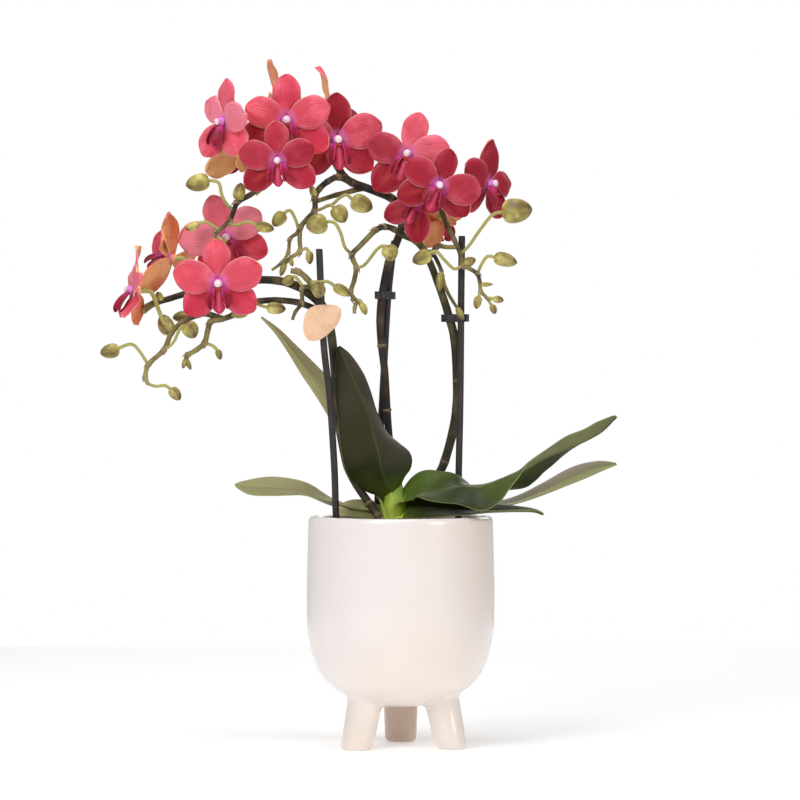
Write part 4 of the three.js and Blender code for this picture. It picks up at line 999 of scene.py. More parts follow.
# Blooms: the middle of each, the way it faces (yaw to the right, nod down, roll anticlockwise, in
# degrees), its size against a full bloom, and the points of its stalk. Deep is how red it is, and
# light how pale its petals are, partly a paler pink and partly painted light on blooms in shade.
# Sway says how a sepal or petal turns clockwise, leans forward and twists, in degrees, then its
# size and how much deeper its red is. Lip lean is how far the lip tips forward.
PLAIN_BLOOM = {"roll": 0, "size": 1, "deep": 0.0, "light": 0.0, "lip_lean": 0}
BLOOMS = {
    "top_left": {
        "at": (-98, -12, 349), "yaw": -58, "nod": 10, "roll": -10, "size": 0.96, "spike": "middle",
        "light": 0.6,
        "stalk": [
            (-77.7, -8, 318.3), (-85, -5, 321.5), (-88, -2, 328.4), (-90, -2, 336), (-92, -3, 344),
        ],
        "sway": {
            "dorsal": (0, -6, -10, 1.04, -0.5), "petal_left": (14, 0, -12, 0.86, 0),
            "lateral_left": (-32, 32, 42, 0.95, -0.8), "lateral_right": (-6, 8, 36, 1.05, -0.9),
        },
    },
    "top": {
        "at": (-63.4, -16, 349.6), "yaw": 2, "nod": 10, "spike": "middle",
        "stalk": [(-56.4, 8, 337.4), (-58.6, 5, 344), (-61, -3, 350)],
        "sway": {
            "dorsal": (0, 0, 0, 1.06, -0.2), "petal_right": (0, 0, 0, 1.05, 0),
            "lateral_right": (-5, 0, 0, 1.12, -0.3), "lateral_left": (10, 0, 0, 1.15, 0.4),
        },
    },
    "top_front": {
        "at": (-67.7, -31, 325.9), "yaw": -4, "nod": 8, "roll": 3, "size": 0.88, "spike": "middle",
        "deep": 0.75,
        "stalk": [(-70, 2, 332), (-69.5, -8, 331), (-69, -16, 330)],
        "sway": {
            "lateral_left": (5, 0, 0, 1.08, 0), "lateral_right": (-5, 0, 0, 1.08, -0.3),
            "petal_left": (0, 0, 0, 1.05, 0), "petal_right": (0, 0, 0, 1, 0.2),
            "dorsal": (0, 0, 0, 1.04, -0.2),
        },
    },
    "top_right": {
        "at": (-35.6, -4, 339.3), "yaw": 10, "nod": 6, "roll": 2, "size": 1.05, "spike": "middle",
        "deep": 0.6,
        "stalk": [(-38.5, 5, 329.5), (-37.5, 6, 334)],
        "sway": {
            "dorsal": (0, 0, 0, 1.05, 0.4), "petal_right": (0, 0, 0, 1.06, -0.2),
            "lateral_right": (0, 0, 0, 1, -0.3),
        },
    },
    "top_back": {
        "at": (-70, 25, 363.5), "yaw": 255, "nod": 12, "spike": "middle", "deep": 0.5,
        "stalk": [(-52, 8, 337.4), (-53.5, 14, 346), (-56, 18, 354)],
        "sway": {"petal_right": (35, -8, 0, 0.9, 0)},
    },
    "top_far": {
        "at": (-38.6, 27, 360.6), "yaw": 102, "nod": -22, "spike": "middle",
        "stalk": [(-41.8, 6, 332.3), (-43, 13, 341), (-44, 19, 349)],
        "sway": {
            "dorsal": (0, 5, 0, 1, -0.5), "petal_left": (0, 0, 0, 0.5, 0),
            "petal_right": (0, 0, 0, 0.5, 0),
        },
    },
    "top_low": {
        "at": (-90, 14, 334), "yaw": 196, "nod": 6, "roll": 50, "size": 0.95, "spike": "middle",
        "stalk": [(-76.6, -5, 321.7), (-81, -1, 325), (-85.6, 2, 330)],
        "sway": {
            "lateral_right": (38, 0, 30, 1.02, 0), "dorsal": (0, 0, 0, 0.6, 0),
            "petal_left": (0, 0, 0, 0.5, 0), "lateral_left": (0, 0, 0, 0.5, 0),
            "petal_right": (0, 0, 0, 0.5, 0),
        },
    },
    "right_top": {
        "at": (4.2, -9.5, 331), "yaw": -10, "nod": 4, "roll": -16, "spike": "right", "deep": 0.2,
        "light": 0.3,
        "stalk": [(9.7, 9, 291.4), (6, 11, 305), (3, 9, 320), (3, 4, 329)],
        "sway": {
            "petal_left": (-18, 0, 0, 0.98, 0.8), "petal_right": (-6, 0, 0, 0.98, -0.3),
            "lateral_left": (-20, 0, 0, 1.12, 0.3), "dorsal": (0, 0, 0, 1, -0.6),
        },
    },
    "right_front": {
        "at": (20.9, -24, 313), "yaw": 6, "nod": 10, "roll": -24, "size": 0.95, "spike": "right",
        "deep": 0.8,
        "stalk": [(19.8, 15, 311), (21.5, 5, 308.5), (22.5, -8, 308)],
        "sway": {
            "dorsal": (-6, 0, 0, 0.92, 0), "petal_left": (-6, 0, 0, 0.95, 0.1),
            "petal_right": (4, 0, 0, 1.06, 0), "lateral_right": (-20, 0, 0, 1, 0),
        },
    },
    "right_side": {
        "at": (49.2, 2, 315), "yaw": 50, "nod": 4, "roll": -6, "size": 0.96, "spike": "right",
        "deep": 0.95,
        "stalk": [(33, 12, 310.8), (39, 10, 312)],
        "sway": {
            "petal_right": (10, 0, 12, 0.9, 0), "dorsal": (0, 0, 4, 1.1, 0),
            "lateral_left": (0, 0, 0, 1, -0.2),
        },
    },
    "right_low": {
        "at": (8.6, -10.5, 303.2), "yaw": -10, "nod": 2, "roll": -20, "size": 0.76,
        "spike": "right", "deep": 1.0,
        "stalk": [(9, 8, 289.2), (11, 5, 294), (11, 0, 298)],
        "sway": {
            "lateral_right": (27, 0, 0, 1.14, 0), "lateral_left": (-2, 0, 0, 1.04, -0.1),
            "petal_left": (0, 0, 0, 0.6, 0), "petal_right": (0, 0, 0, 0.8, 0),
        },
    },
    "right_back": {
        "at": (22.8, 22, 295.6), "yaw": 172, "nod": 20, "roll": -25, "size": 0.74, "spike": "right",
        "deep": 0.4,
        "stalk": [(25.4, 7, 293.7), (26, 9, 295)],
        "sway": {"lateral_left": (0, 0, 0, 0.5, 0)},
    },
    "left_front": {
        "at": (-101, -21, 258.8), "yaw": 0, "nod": 12, "roll": 3, "size": 1.02, "spike": "left",
        "deep": 0.06,
        "stalk": [(-94, -6, 259.5), (-99, -9, 260.5)],
        "sway": {
            "dorsal": (0, 0, 0, 1, -0.4), "lateral_left": (0, 0, 0, 1, -0.35),
            "lateral_right": (0, 0, 0, 1, -0.15), "petal_left": (0, 0, 0, 1.05, 0),
            "petal_right": (0, 0, 0, 1.05, 0),
        },
    },
    "left_upper": {
        "at": (-97.8, -1, 285), "yaw": 4, "nod": 10, "roll": 20, "spike": "left", "light": 0.85,
        "stalk": [(-86.6, -7, 260.6), (-89, 0, 266), (-93, 7, 276), (-96, 9, 284)],
        "sway": {
            "petal_left": (0, 0, 0, 1.12, 0), "dorsal": (0, 0, 0, 1.04, -0.4),
            "lateral_right": (0, 0, 0, 1, -0.3),
        },
    },
    "left_turned": {
        "at": (-128, -6, 273.5), "yaw": -118, "nod": -6, "roll": -4, "size": 0.98, "spike": "left",
        "deep": 0.45, "lip_lean": 38,
        "stalk": [(-114, -5, 255), (-114, -7, 262), (-117, -9, 269)],
        "sway": {
            "dorsal": (0, 9, 0, 1.08, 0), "lateral_right": (8, 22, 0, 1.06, 0),
            "petal_right": (-44, 4, 0, 0.6, 0), "petal_left": (27, 46, -60, 1, 0),
            "lateral_left": (42, 0, -36, 0.94, 0),
        },
    },
    "left_end": {
        "at": (-147.5, -17, 254.5), "yaw": -80, "nod": 0, "roll": 6, "size": 0.98, "spike": "left",
        "deep": 0.15, "light": 0.35, "lip_lean": 6,
        "stalk": [
            (-129.2, -12, 231.5), (-132.8, -14, 239.4), (-135.5, -15, 246.6), (-137.5, -15.5, 252),
        ],
        "sway": {
            "dorsal": (0, -3, 0, 1.08, -0.4), "lateral_right": (15, 25, 45, 0.8, -0.8),
            "lateral_left": (-15, -4, -36, 0.84, 0.5),
        },
    },
}
BLOOMS = {name: {**PLAIN_BLOOM, **bloom} for name, bloom in BLOOMS.items()}
BLOOM_STALK = (1.15, 1.35)  # radii at root and tip
BLOOM_STALK_ENDS = (8, 3)  # how far behind the bloom's middle its last two points are
BUD_STALK = (0.88, 0.98)
BUD_ROWS, BUD_SIDES = 14, 24
BUD_SEAM = 0.13  # depth of its seams, as a share of its radius
# How green a shoot is at its root and at its tip.
STEM_GREENNESS = (0.0, 0.34)
TWIG_GREENNESS = (0.24, 0.5)
BUD_STALK_GREENNESS = (0.55, 0.9)
BLOOM_STALK_GREENNESS = (0.5, 0.95)
STEM_STEPS = 6
STEM_SIDES = 12
STEM_ARCH = 0.55  # how much thicker the stem is half way up
NODE_SWELL = 0.45
NODE_WIDTH = 0.16  # of the swelling, as a share of the way to the next point
NODE_BEND = 35  # degrees at which a bend swells in full
BRACT_BEND = 22  # degrees above which a bend has a bract
BRACT_WRAP = 75
BRACT_THICKNESS = 0.4
# Each ring of a collar: how far along the stem, and how far out from it.
COLLAR = ((-1.1, 0), (-0.3, 0.6), (0.4, 0.5), (1, -0.2))
STEM_PURPLE = (28, 20, 18)
STEM_DARK = (40, 32, 18)
STEM_BROWN = (94, 76, 50)
STEM_GREEN = (76, 82, 48)
TWIG_BROWN = (122, 97, 66)
STALK_GREEN = (178, 172, 102)
BRACT_TAN = (176, 152, 116)
BUD_OLIVE = (160, 149, 68)
BUD_YELLOW = (226, 214, 128)
BUD_BROWN = (96, 72, 40)


def bloom_place(bloom):
    """Where a bloom stands: its own frame has x to the right, y up and z to the front."""
    return (
        Matrix.Translation(bloom["at"])
        @ Matrix.Rotation(radians(bloom["yaw"]), 4, "Z")
        @ Matrix.Rotation(radians(90 + bloom["nod"]), 4, "X")
        @ Matrix.Rotation(radians(bloom["roll"]), 4, "Z")
        @ Matrix.Scale(bloom["size"], 4)
    )


def bend_at(points, k):
    """A listed point between its two neighbours, and the angle of the bend there."""
    before, at, after = (Vector(point) for point in points[k - 1:k + 2])
    return before, at, after, (at - before).angle(after - at)


def shoot(skin, points, radii, greenness, nodes=True, arch=0.0, tint=0.3, collars=()):
    """A shoot through listed points. Where it has nodes, it swells into a ring at each bend."""
    root, tip = radii
    line = smooth_line(points, STEM_STEPS)
    thickness, green, ring = [], [], []
    for k in range(len(line)):
        share = k / (len(line) - 1)
        nearest = round(k / STEM_STEPS)
        off = abs(k - nearest * STEM_STEPS) / STEM_STEPS
        swell = 0.0
        if nodes and 0 < nearest < len(points) - 1:
            bend = min(1.0, bend_at(points, nearest)[3] / radians(NODE_BEND))
            swell = bend * exp(-((off / NODE_WIDTH) ** 2))
        bulge = arch * sin(pi * share) ** 2 + NODE_SWELL * swell
        thickness.append(root + (tip - root) * share**1.3 + bulge)
        green += [greenness[0] + (greenness[1] - greenness[0]) * share] * STEM_SIDES
        ring += [swell] * STEM_SIDES
    skin.patch(*tube(line, thickness, STEM_SIDES), green=green, ring=ring, tint=tint)
    for k in collars:
        before, at, after, _ = bend_at(points, k)
        ahead = (after - before).normalized()
        line = [at + ahead * along for along, _ in COLLAR]
        skin.patch(*tube(line, [root + out for _, out in COLLAR], STEM_SIDES), scale=0.5)
    for k in range(1, len(points) - 1):
        before, at, after, bend = bend_at(points, k)
        if nodes and bend > radians(BRACT_BEND):
            back, ahead = (at - before).normalized(), (after - at).normalized()
            skin.patch(*bract(at, ahead, back - ahead, root), scale=1.0)


def bract(at, ahead, outward, radius):
    """A papery scale that clasps the stem at a node and ends in a point."""
    outward = (outward - ahead * outward.dot(ahead)).normalized()
    side = ahead.cross(outward)
    rows = []
    for share in (0, 0.35, 0.7, 1):
        spread = radians(BRACT_WRAP) * (1 - share**1.5)
        lift = radius + 0.15 + 0.7 * share**2
        place = at + ahead * (radius * 2.2 * share - 0.6)
        angles = [spread * (j / 3 - 1) for j in range(7)]
        rows.append([place + (outward * cos(a) + side * sin(a)) * lift for a in angles])
    return sheet(rows, BRACT_THICKNESS)[:2]


def bud(skin, base, tip, width):
    """An egg-shaped bud: three outer sepals meet in seams, and it narrows to a soft point."""
    base, tip = Vector(base), Vector(tip)
    axis = tip - base
    attitude = Vector((0, 0, 1)).rotation_difference(axis.normalized()).to_matrix()
    rings, seam, up = [], [], []
    for i in range(BUD_ROWS + 1):
        angle = pi * i / BUD_ROWS
        share = 0.5 - 0.5 * cos(angle)
        swell = 1.1 * sin(angle) ** (0.7 + 0.55 * share**3) * (1.1 - 0.34 * share)
        ring = []
        for turn in turns(BUD_SIDES):
            groove = abs(cos(1.5 * turn)) ** 6
            radius = max(width / 2 * swell * (1 - BUD_SEAM * groove), 0.03)
            corner = Vector((radius * cos(turn), radius * sin(turn), 0))
            ring.append(base + axis * share + attitude @ corner)
            seam.append(groove)
            up.append(share)
        rings.append(ring)
    skin.patch(*ring_patch(rings), bud=1.0, seam=seam, up=up, green=0.8)


spike = Finish("spike_bark")
green = spike.painted("green")
tint = spike.painted("tint")
is_bud = spike.painted("bud")
seam = spike.painted("seam")
up = spike.painted("up")
mottle = spike.noise(90, 4)
fine = spike.noise(600, 2)
young = (green + (mottle - 0.5) * 0.5).step(0.25, 0.75)
lichen = mottle.step(0.4, 0.7) * (0.3 + 0.7 * green.step(0.06, 0.2))
blush = (mottle + up * 0.2 + spike.noise(30, 1) - 0.5).step(0.5, 0.72)
stem_colour = spike.coats(
    spike.blend(tint, STEM_PURPLE, STEM_DARK),
    (lichen, spike.blend(tint, STEM_BROWN, STEM_GREEN)),
    (green.step(0.2, 0.5) * mottle.step(0.35, 0.6), TWIG_BROWN),
    (young, STALK_GREEN),
    (spike.painted("ring") * 0.5, BRACT_TAN),
)
bud_colour = spike.coats(
    BUD_OLIVE,
    (spike.noise(140, 2).step(0.4, 0.7), BUD_YELLOW),
    (blush * 0.45 + seam * 0.4 + up.step(0.7, 1.0) * 0.4, BUD_BROWN),
)
spike_material = spike.surface(
    Base_Color=spike.coats(
        stem_colour, (is_bud, bud_colour), (spike.painted("scale") * 0.8, BRACT_TAN)
    ),
    Roughness=0.58 - 0.2 * is_bud + 0.15 * fine,
    Specular_IOR_Level=0.35,
    Coat_Weight=0.25 * is_bud,
    Coat_Roughness=0.25,
    Normal=spike.bump(fine * 0.6 + mottle * 0.4 - seam * 0.4, 0.2),
    Subsurface_Weight=0.08,
    Subsurface_Radius=(0.002, 0.003, 0.001),
)
bloom_places = {name: bloom_place(bloom) for name, bloom in BLOOMS.items()}
for side, parts in SPIKES.items():
    skin = Skin()
    tint = parts["tint"]
    (root, tip, points), *twigs = parts["shoots"]
    shoot(
        skin, points, (root, tip), STEM_GREENNESS,
        arch=STEM_ARCH, tint=tint, collars=parts["collars"],
    )
    for root, tip, points in twigs:
        shoot(skin, points, (root, tip), TWIG_GREENNESS, tint=tint)
    for base, tip, width, stalk in parts["buds"]:
        if stalk:
            heart = Vector(base).lerp(Vector(tip), 0.15)
            shoot(skin, stalk + [heart], BUD_STALK, BUD_STALK_GREENNESS, nodes=False)
        bud(skin, base, tip, width)
    for name, bloom in BLOOMS.items():
        if bloom["spike"] == side:
            ends = [
                bloom_places[name] @ Vector((0, 0, -back / bloom["size"]))
                for back in BLOOM_STALK_ENDS
            ]
            stalk = bloom["stalk"] + ends
            shoot(skin, stalk, BLOOM_STALK, BLOOM_STALK_GREENNESS, nodes=False)
    skin.piece(f"stem_{side}", spike_material, f"spike_{side}")


# ----------------------------------------------------------------------------------------- clips
# Clips: small moulded plastic clips that pinch a stem to its stake, each a ring with a ribbed
# finger tab at both ends. They are snapped on by hand under the flower sprays.
CLIPS = {
    "middle": {
        "stake": (-7.05, 16.3), "stem": (-10.5, 11.5), "height": 253, "length": 15.5, "depth": 9,
    },
    "right": {"stake": (33.8, 3.3), "stem": (27.3, 7), "height": 240, "length": 16, "depth": 8},
}
CLIP_HEIGHT = 4.4
CLIP_SIDES = 48
CLIP_END = 1.5  # how far the tabs stand out of the ring
CLIP_WAIST = 0.22
CLIP_SQUARENESS = 0.8  # 1 is round, and less is squarer
# Each level of the ring: its height as a share of the half height, and how far it stands out.
CLIP_LEVELS = ((-1, -0.35), (-0.8, 0), (-0.3, 0.1), (0.3, 0.1), (0.8, 0), (1, -0.35))
CLIP_RIBS = 4
RIB_START = 2.6  # how far in from the clip's end the first rib is
RIB_STEP = 0.75
RIB_HEIGHTS = (0.75, 0.95)  # of every other rib, as a share of the clip's height
RIB_CORNERS = ((-0.45, -1.6), (0.45, -1.6), (0.45, 1.6), (-0.45, 1.6))
CLIP_BLACK = (34, 30, 32)
CLIP_WORN = (74, 66, 66)

hard = Finish("clip_plastic")
clip_wear = hard.noise(240, 3)
clip_material = hard.surface(
    Base_Color=hard.blend(clip_wear.step(0.5, 0.75), CLIP_BLACK, CLIP_WORN),
    Roughness=0.35 + 0.25 * clip_wear,
    Normal=hard.bump(hard.noise(700, 2), 0.08),
)
for name, clip in CLIPS.items():
    stake, stem = Vector((*clip["stake"], 0)), Vector((*clip["stem"], 0))
    middle = (stake + stem) / 2 + Vector((0, 0, clip["height"]))
    attitude = Matrix.Rotation(atan2(stem.y - stake.y, stem.x - stake.x), 3, "Z")
    skin = Skin()
    rings = []
    for level, grow in CLIP_LEVELS:
        ring = []
        for turn in turns(CLIP_SIDES):
            wide = clip["length"] / 2 - CLIP_END + grow
            x = wide * copysign(abs(cos(turn)) ** CLIP_SQUARENESS, cos(turn))
            waist = 1 - CLIP_WAIST * cos(2 * turn) ** 2
            y = (clip["depth"] / 2 * 0.92 + grow) * sin(turn) * waist
            ring.append(middle + attitude @ Vector((x, y, level * CLIP_HEIGHT / 2)))
        rings.append(ring)
    skin.patch(*ring_patch(rings))
    for end in (-1, 1):
        for k in range(CLIP_RIBS):
            reach = clip["length"] / 2 - RIB_START + RIB_STEP * k
            high = CLIP_HEIGHT / 2 * RIB_HEIGHTS[k % 2]
            skin.patch(*ring_patch([
                [
                    middle + attitude @ Vector((end * reach + x, y, level * high))
                    for x, y in RIB_CORNERS
                ]
                for level in (-1, 1)
            ]))
    skin.piece(f"stem_clip_{name}", clip_material, f"clip_{name}")


# ------------------------------------------------------------------------------------------- tag
# Tag: a pebble-shaped pick tag die-cut from pressed cork paper, peach tan with fine specks, clipped
# on the left stake by a loop at its back. Its face is plain.
TAG_MIDDLE = Vector((-43.65, -15.6, 236.7))
TAG_THICKNESS = 1.1
TAG_OUTLINE = [
    (-10.6, -1.2), (-9.9, 3.6), (-8.2, 7.2), (-5.2, 9.3), (-1.5, 10.2), (3, 10.3), (7.2, 9.9),
    (9.9, 8.4), (10.7, 5.6), (9.8, 2), (7.8, -1.6), (4.6, -5), (1.2, -7.8), (-1.8, -9.4),
    (-5.4, -9.9), (-8.4, -8.8), (-10.1, -5.6),
]
TAG_EDGE = ((-0.5, 0.985), (-0.35, 1.0), (0.35, 1.0), (0.5, 0.985))  # depth and size of each ring
LOOP_MIDDLE = (-43.65, -13, 237)
LOOP_RADIUS = 2.9
LOOP_LEVELS = (-2.2, 2.2)
LOOP_WIRE = 0.5
LOOP_SIDES = 8
TAG_PEACH = (244, 203, 169)
TAG_TAN = (216, 160, 122)
TAG_SPECK = (172, 118, 84)

outline = smooth_line(TAG_OUTLINE + TAG_OUTLINE[:1], 5)[:-1]
tag = Skin()
tag.patch(*ring_patch([
    [TAG_MIDDLE + Vector((x * inset, depth * TAG_THICKNESS, z * inset)) for x, z in outline]
    for depth, inset in TAG_EDGE
]))
x, y, z = LOOP_MIDDLE
loop_angles = [radians(degrees) for degrees in range(-110, 251, 20)]
loop = [Vector((x + LOOP_RADIUS * cos(a), y + LOOP_RADIUS * sin(a), z)) for a in loop_angles]
for level in LOOP_LEVELS:
    wire = [point + Vector((0, 0, level)) for point in loop]
    tag.patch(*tube(wire, [LOOP_WIRE] * len(wire), LOOP_SIDES))

cork = Finish("cork_paper")
grit = cork.noise(900, 3)
tag_material = cork.surface(
    Base_Color=cork.coats(
        TAG_PEACH,
        (cork.noise(160, 3).step(0.4, 0.7) * 0.3, TAG_TAN),
        (grit.step(0.58, 0.72) * 0.35, TAG_SPECK),
    ),
    Roughness=0.75 + 0.15 * grit,
    Normal=cork.bump(grit + cork.cells(700) * 0.3, 0.15),
)
tag.piece("pick_tag", tag_material, "tag")


# ---------------------------------------------------------------------------------------- petals
# Sepals and petals: three sepals behind, a pair of broad petals in front. Thin waxy tissue, coral
# rose with fine fan veins and a pale edge, crimson on the lower sepals, tan orange on the back.
BLOOM_REACH = 24
PETAL_THICKNESS = 0.8
PETAL_ROWS, PETAL_COLUMNS = 22, 17
PETAL_STEPS = 8
ROUNDED_FROM = 0.66  # the last third of the outline is rounded off
PETAL_FOOT = 0.07  # how far out it starts, as a share of its reach
PETAL_BOW = 0.06  # how far its sides fall back
RUFFLE = 2.8
KEEL, KEEL_WIDTH = 0.35, 0.12
# For each sort its reach as a share of the bloom's, its half width in mm, its outline in shares of
# that at equal steps from root to tip, how it cups across and lifts along its length in mm, and its
# kind, from 0 for a petal to 1 for a crimson lower sepal.
SEPAL_OUTLINE = [0.34, 0.56, 0.76, 0.91, 0.99, 1.0, 1.0, 0.99, 0.97, 0.96]
PETAL_OUTLINE = [0.36, 0.54, 0.74, 0.89, 0.97, 1.0, 1.0, 1.0, 1.0, 1.0]
DORSAL = {
    "reach": 1.0, "half": 7.5, "outline": SEPAL_OUTLINE, "cup": -1.3, "lift": (-0.9, -0.6, 0, -0.8),
    "kind": 0.6,
}
LATERAL = {
    "reach": 1.04, "half": 8.3, "outline": SEPAL_OUTLINE, "cup": -1.2,
    "lift": (-0.9, -1.4, -0.9, -1.6), "kind": 1.0,
}
PETAL = {
    "reach": 1.0, "half": 8.8, "outline": PETAL_OUTLINE, "cup": -1.6, "lift": (0.8, 2.2, 1.9, 0),
    "kind": 0.0,
}
# The way that each points, in degrees clockwise from the top.
RING = {
    "dorsal": (0, DORSAL),
    "lateral_right": (131, LATERAL),
    "lateral_left": (-131, LATERAL),
    "petal_right": (72, PETAL),
    "petal_left": (-72, PETAL),
}
NO_SWAY = (0, 0, 0, 1, 0)
HUB_RINGS = ((1.2, -4), (1.9, -2.5), (2.6, -0.5), (2.9, 0.8), (2.2, 1.4))  # radius and height
HUB_SIDES = 16
PETAL_ROSE = (255, 98, 118)
PETAL_LIGHT = (255, 148, 168)
PETAL_DUSTY = (174, 22, 52)
SEPAL_ROSE = (240, 66, 94)
SEPAL_CRIMSON = (164, 14, 36)
VEIN_RED = (140, 14, 42)
CORAL_HEART = (232, 92, 62)
DUSTY_PINK = (232, 118, 146)
EDGE_PINK = (252, 196, 180)
VIOLET_HALO = (232, 140, 216)
BACK_TAN = (255, 194, 138)
BACK_PINK = (228, 118, 78)


def petal_grid(shape, seed, turn, lean, twist, size):
    """A petal's points in the bloom's own frame, with a soft ruffle along its margin."""
    turn, lean, twist = radians(turn), radians(lean), radians(twist)
    ahead = Vector((sin(turn), cos(turn), 0))
    side = Vector((cos(turn), -sin(turn), 0))
    front = Vector((0, 0, 1))
    ahead, front = ahead * cos(lean) + front * sin(lean), front * cos(lean) - ahead * sin(lean)
    side, front = side * cos(twist) + front * sin(twist), front * cos(twist) - side * sin(twist)
    widths, lifts = (
        [value for (value,) in smooth_line([(value,) for value in shape[name]], PETAL_STEPS)]
        for name in ("outline", "lift")
    )
    grid = []
    for i in range(PETAL_ROWS):
        share = sin(0.5 * pi * i / (PETAL_ROWS - 1)) ** 0.9
        width = widths[round(share * (len(widths) - 1))]
        if share > ROUNDED_FROM:
            width *= sqrt(max(0, 1 - ((share - ROUNDED_FROM) / (1 - ROUNDED_FROM)) ** 2))
        lift = lifts[round(share * (len(lifts) - 1))]
        along = PETAL_FOOT + (1 - PETAL_FOOT) * share
        length = along * shape["reach"] * BLOOM_REACH * size
        row = []
        for j in range(PETAL_COLUMNS):
            v = 2 * j / (PETAL_COLUMNS - 1) - 1
            wander = noise.noise(Vector((seed * 7.3, share * 2.6, v * 1.8)))
            ruffle = wander * RUFFLE * (0.25 + v * v) * share
            keel = KEEL * exp(-((v / KEEL_WIDTH) ** 2)) * share
            rise = lift + shape["cup"] * (width * v) ** 2 * share - keel + ruffle
            bow = 1 - PETAL_BOW * v * v * width
            out = side * (width * v * shape["half"] * size)
            row.append(ahead * (length * bow) + out + front * rise)
        grid.append(row)
    return grid


tissue = Finish("petal_tissue")
along = tissue.painted("along")
across = tissue.painted("across")
aside = across * across
deep = tissue.painted("deep")
kind = tissue.painted("kind")
# Light: paler pink petals, partly painted light for blooms that stand in shade.
light = tissue.painted("light")
cloud = tissue.noise(70, 3)
fan_inputs = {0: across * 9, 1: along * 2.2, 2: deep * 5}
fan = tissue.noise(1.6, 3, tissue.node("ShaderNodeCombineXYZ", None, fan_inputs))
veins = (across * 34 + fan * 7).wave()
vein_mask = veins.step(0.78, 1.0) * along.step(0.05, 0.35)
blush = (cloud + (along - 0.5) * 0.35).step(0.35, 0.75)
petal_colour = tissue.blend(deep, PETAL_ROSE, PETAL_DUSTY)
sepal_colour = tissue.blend((deep + kind * 0.5).step(0.2, 1.2), SEPAL_ROSE, SEPAL_CRIMSON)
middle_band = aside.step(0.3, 0.0) * along.step(0.2, 0.6)
dusty_edge = (aside + 0.5 * cloud).step(0.45, 1.3)
pale_clouds = cloud.step(0.46, 0.7) * (1 - 0.8 * kind) * (1 - 0.6 * deep)
vein_depth = (0.28 + 0.27 * cloud.step(0.4, 0.6)) * (1 - 0.6 * light)
heart = aside.step(0.06, 0.0) * along.step(0.7, 0.2) * kind.step(0.7, 1.0)
edge = (aside + along.step(0.95, 1.0)).step(0.92, 1.0)
halo = (along + aside * 0.05).step(0.14, 0.0)
face_colour = tissue.coats(
    petal_colour,
    ((kind - blush * 0.25).step(0.0, 0.6), sepal_colour),
    ((1 - blush) * 0.3, VEIN_RED),
    (middle_band * deep * 0.3, VEIN_RED),
    (dusty_edge * (0.42 - 0.2 * deep), DUSTY_PINK),
    # paler pink, and painted light on blooms in shade
    (pale_clouds * 0.34 + light, PETAL_LIGHT),
    (vein_mask * vein_depth, VEIN_RED),
    (heart * 0.32, CORAL_HEART),
    (edge * 0.8, EDGE_PINK),
    (halo * 0.65, VIOLET_HALO),
)
back_colour = tissue.coats(
    BACK_TAN,
    ((cloud + deep * 0.5 - 0.2).step(0.3, 0.75), BACK_PINK),
    (vein_mask * 0.25, VEIN_RED),
)
petal_material = tissue.surface(
    Base_Color=tissue.blend(tissue.painted("under"), face_colour, back_colour),
    Roughness=0.5 + 0.12 * cloud,
    Normal=tissue.bump(veins * 0.18 + fan * 0.5 + tissue.noise(1500, 1) * 0.12, 0.22),
    Specular_IOR_Level=0.25,
    Sheen_Weight=0.05,
    Sheen_Roughness=0.4,
    Subsurface_Weight=0.18,
    Subsurface_Radius=(0.004, 0.001, 0.001),
)
for number, (name, bloom) in enumerate(BLOOMS.items()):
    skin = Skin()
    place = bloom_places[name]
    for k, (part, (angle, shape)) in enumerate(RING.items()):
        turn, lean, twist, size, deeper = bloom["sway"].get(part, NO_SWAY)
        grid = petal_grid(shape, number * len(RING) + k, angle + turn, lean, twist, size)
        corners, faces, paint = sheet(grid, PETAL_THICKNESS)
        skin.patch(
            [place @ corner for corner in corners],
            faces,
            deep=max(0, min(1, bloom["deep"] + deeper)),
            kind=max(0, shape["kind"] + min(0, 1.3 * deeper)),
            light=bloom["light"] * (1 - shape["kind"]) * (1 - max(0, deeper)),
            **paint,
        )
    hub = [
        [place @ Vector(corner) for corner in circle(radius, height, HUB_SIDES)]
        for radius, height in HUB_RINGS
    ]
    under = [1.0] * (2 * HUB_SIDES) + [0.0] * (3 * HUB_SIDES)
    skin.patch(*ring_patch(hub), deep=bloom["deep"], along=0.05, under=under)
    skin.piece(f"bloom_{name}", petal_material, f"{name}_petals")


# ------------------------------------------------------------------------------------------ lips
# Lip and column: the column stands out of the middle with a round white cap over the pollen. Below
# it the lip has two maroon side lobes turned up like horns, an orange callus and a pointed tongue.
LIP_SCALE = 1.16
COLUMN_LINE = [(0, 0, 1.5), (0, 0.3, 2.7), (0, 0.5, 3.8), (0, 0.7, 4.6)]
COLUMN_STEPS = 3
COLUMN_RADIUS, COLUMN_TAPER = 2.45, 0.12
COLUMN_SIDES = 14
CAP_ROWS = 8
CAP_AT = (0, 0.5, 4.5)
CAP_HALF = (1.7, 1.8, 1.1)  # half its width, height and depth
LOBE_ROWS = 9
LOBE_SHARES = [j / 4 - 1 for j in range(9)]  # across it
LOBE_HALF = 2.7
LOBE_THICKNESS = 0.6
TONGUE = [  # half width, height and depth
    (1.6, -1.2, 2.9), (2.4, -3.4, 4.1), (2.2, -5.6, 5.3), (2.0, -8, 6.3), (2.9, -10, 6.7),
    (2.2, -11.8, 6.1), (0.3, -13.4, 5.5),
]
TONGUE_STEPS = 4
TONGUE_SHARES = [j / 5 - 1 for j in range(11)]
TONGUE_THICKNESS = 0.9
CALLUS_RINGS = ((0.3, 3.7), (0.65, 4.3), (0.65, 4.9), (0.3, 5.4))  # radius and depth
LIP_MAROON = (128, 6, 36)
LIP_CRIMSON = (164, 16, 60)
LIP_MAGENTA = (196, 40, 84)
LIP_PINK = (212, 84, 110)
LIP_VIOLET = (200, 56, 146)
LIP_ORANGE = (196, 76, 44)
COLUMN_VIOLET = (228, 142, 224)
CAP_WHITE = (250, 229, 234)

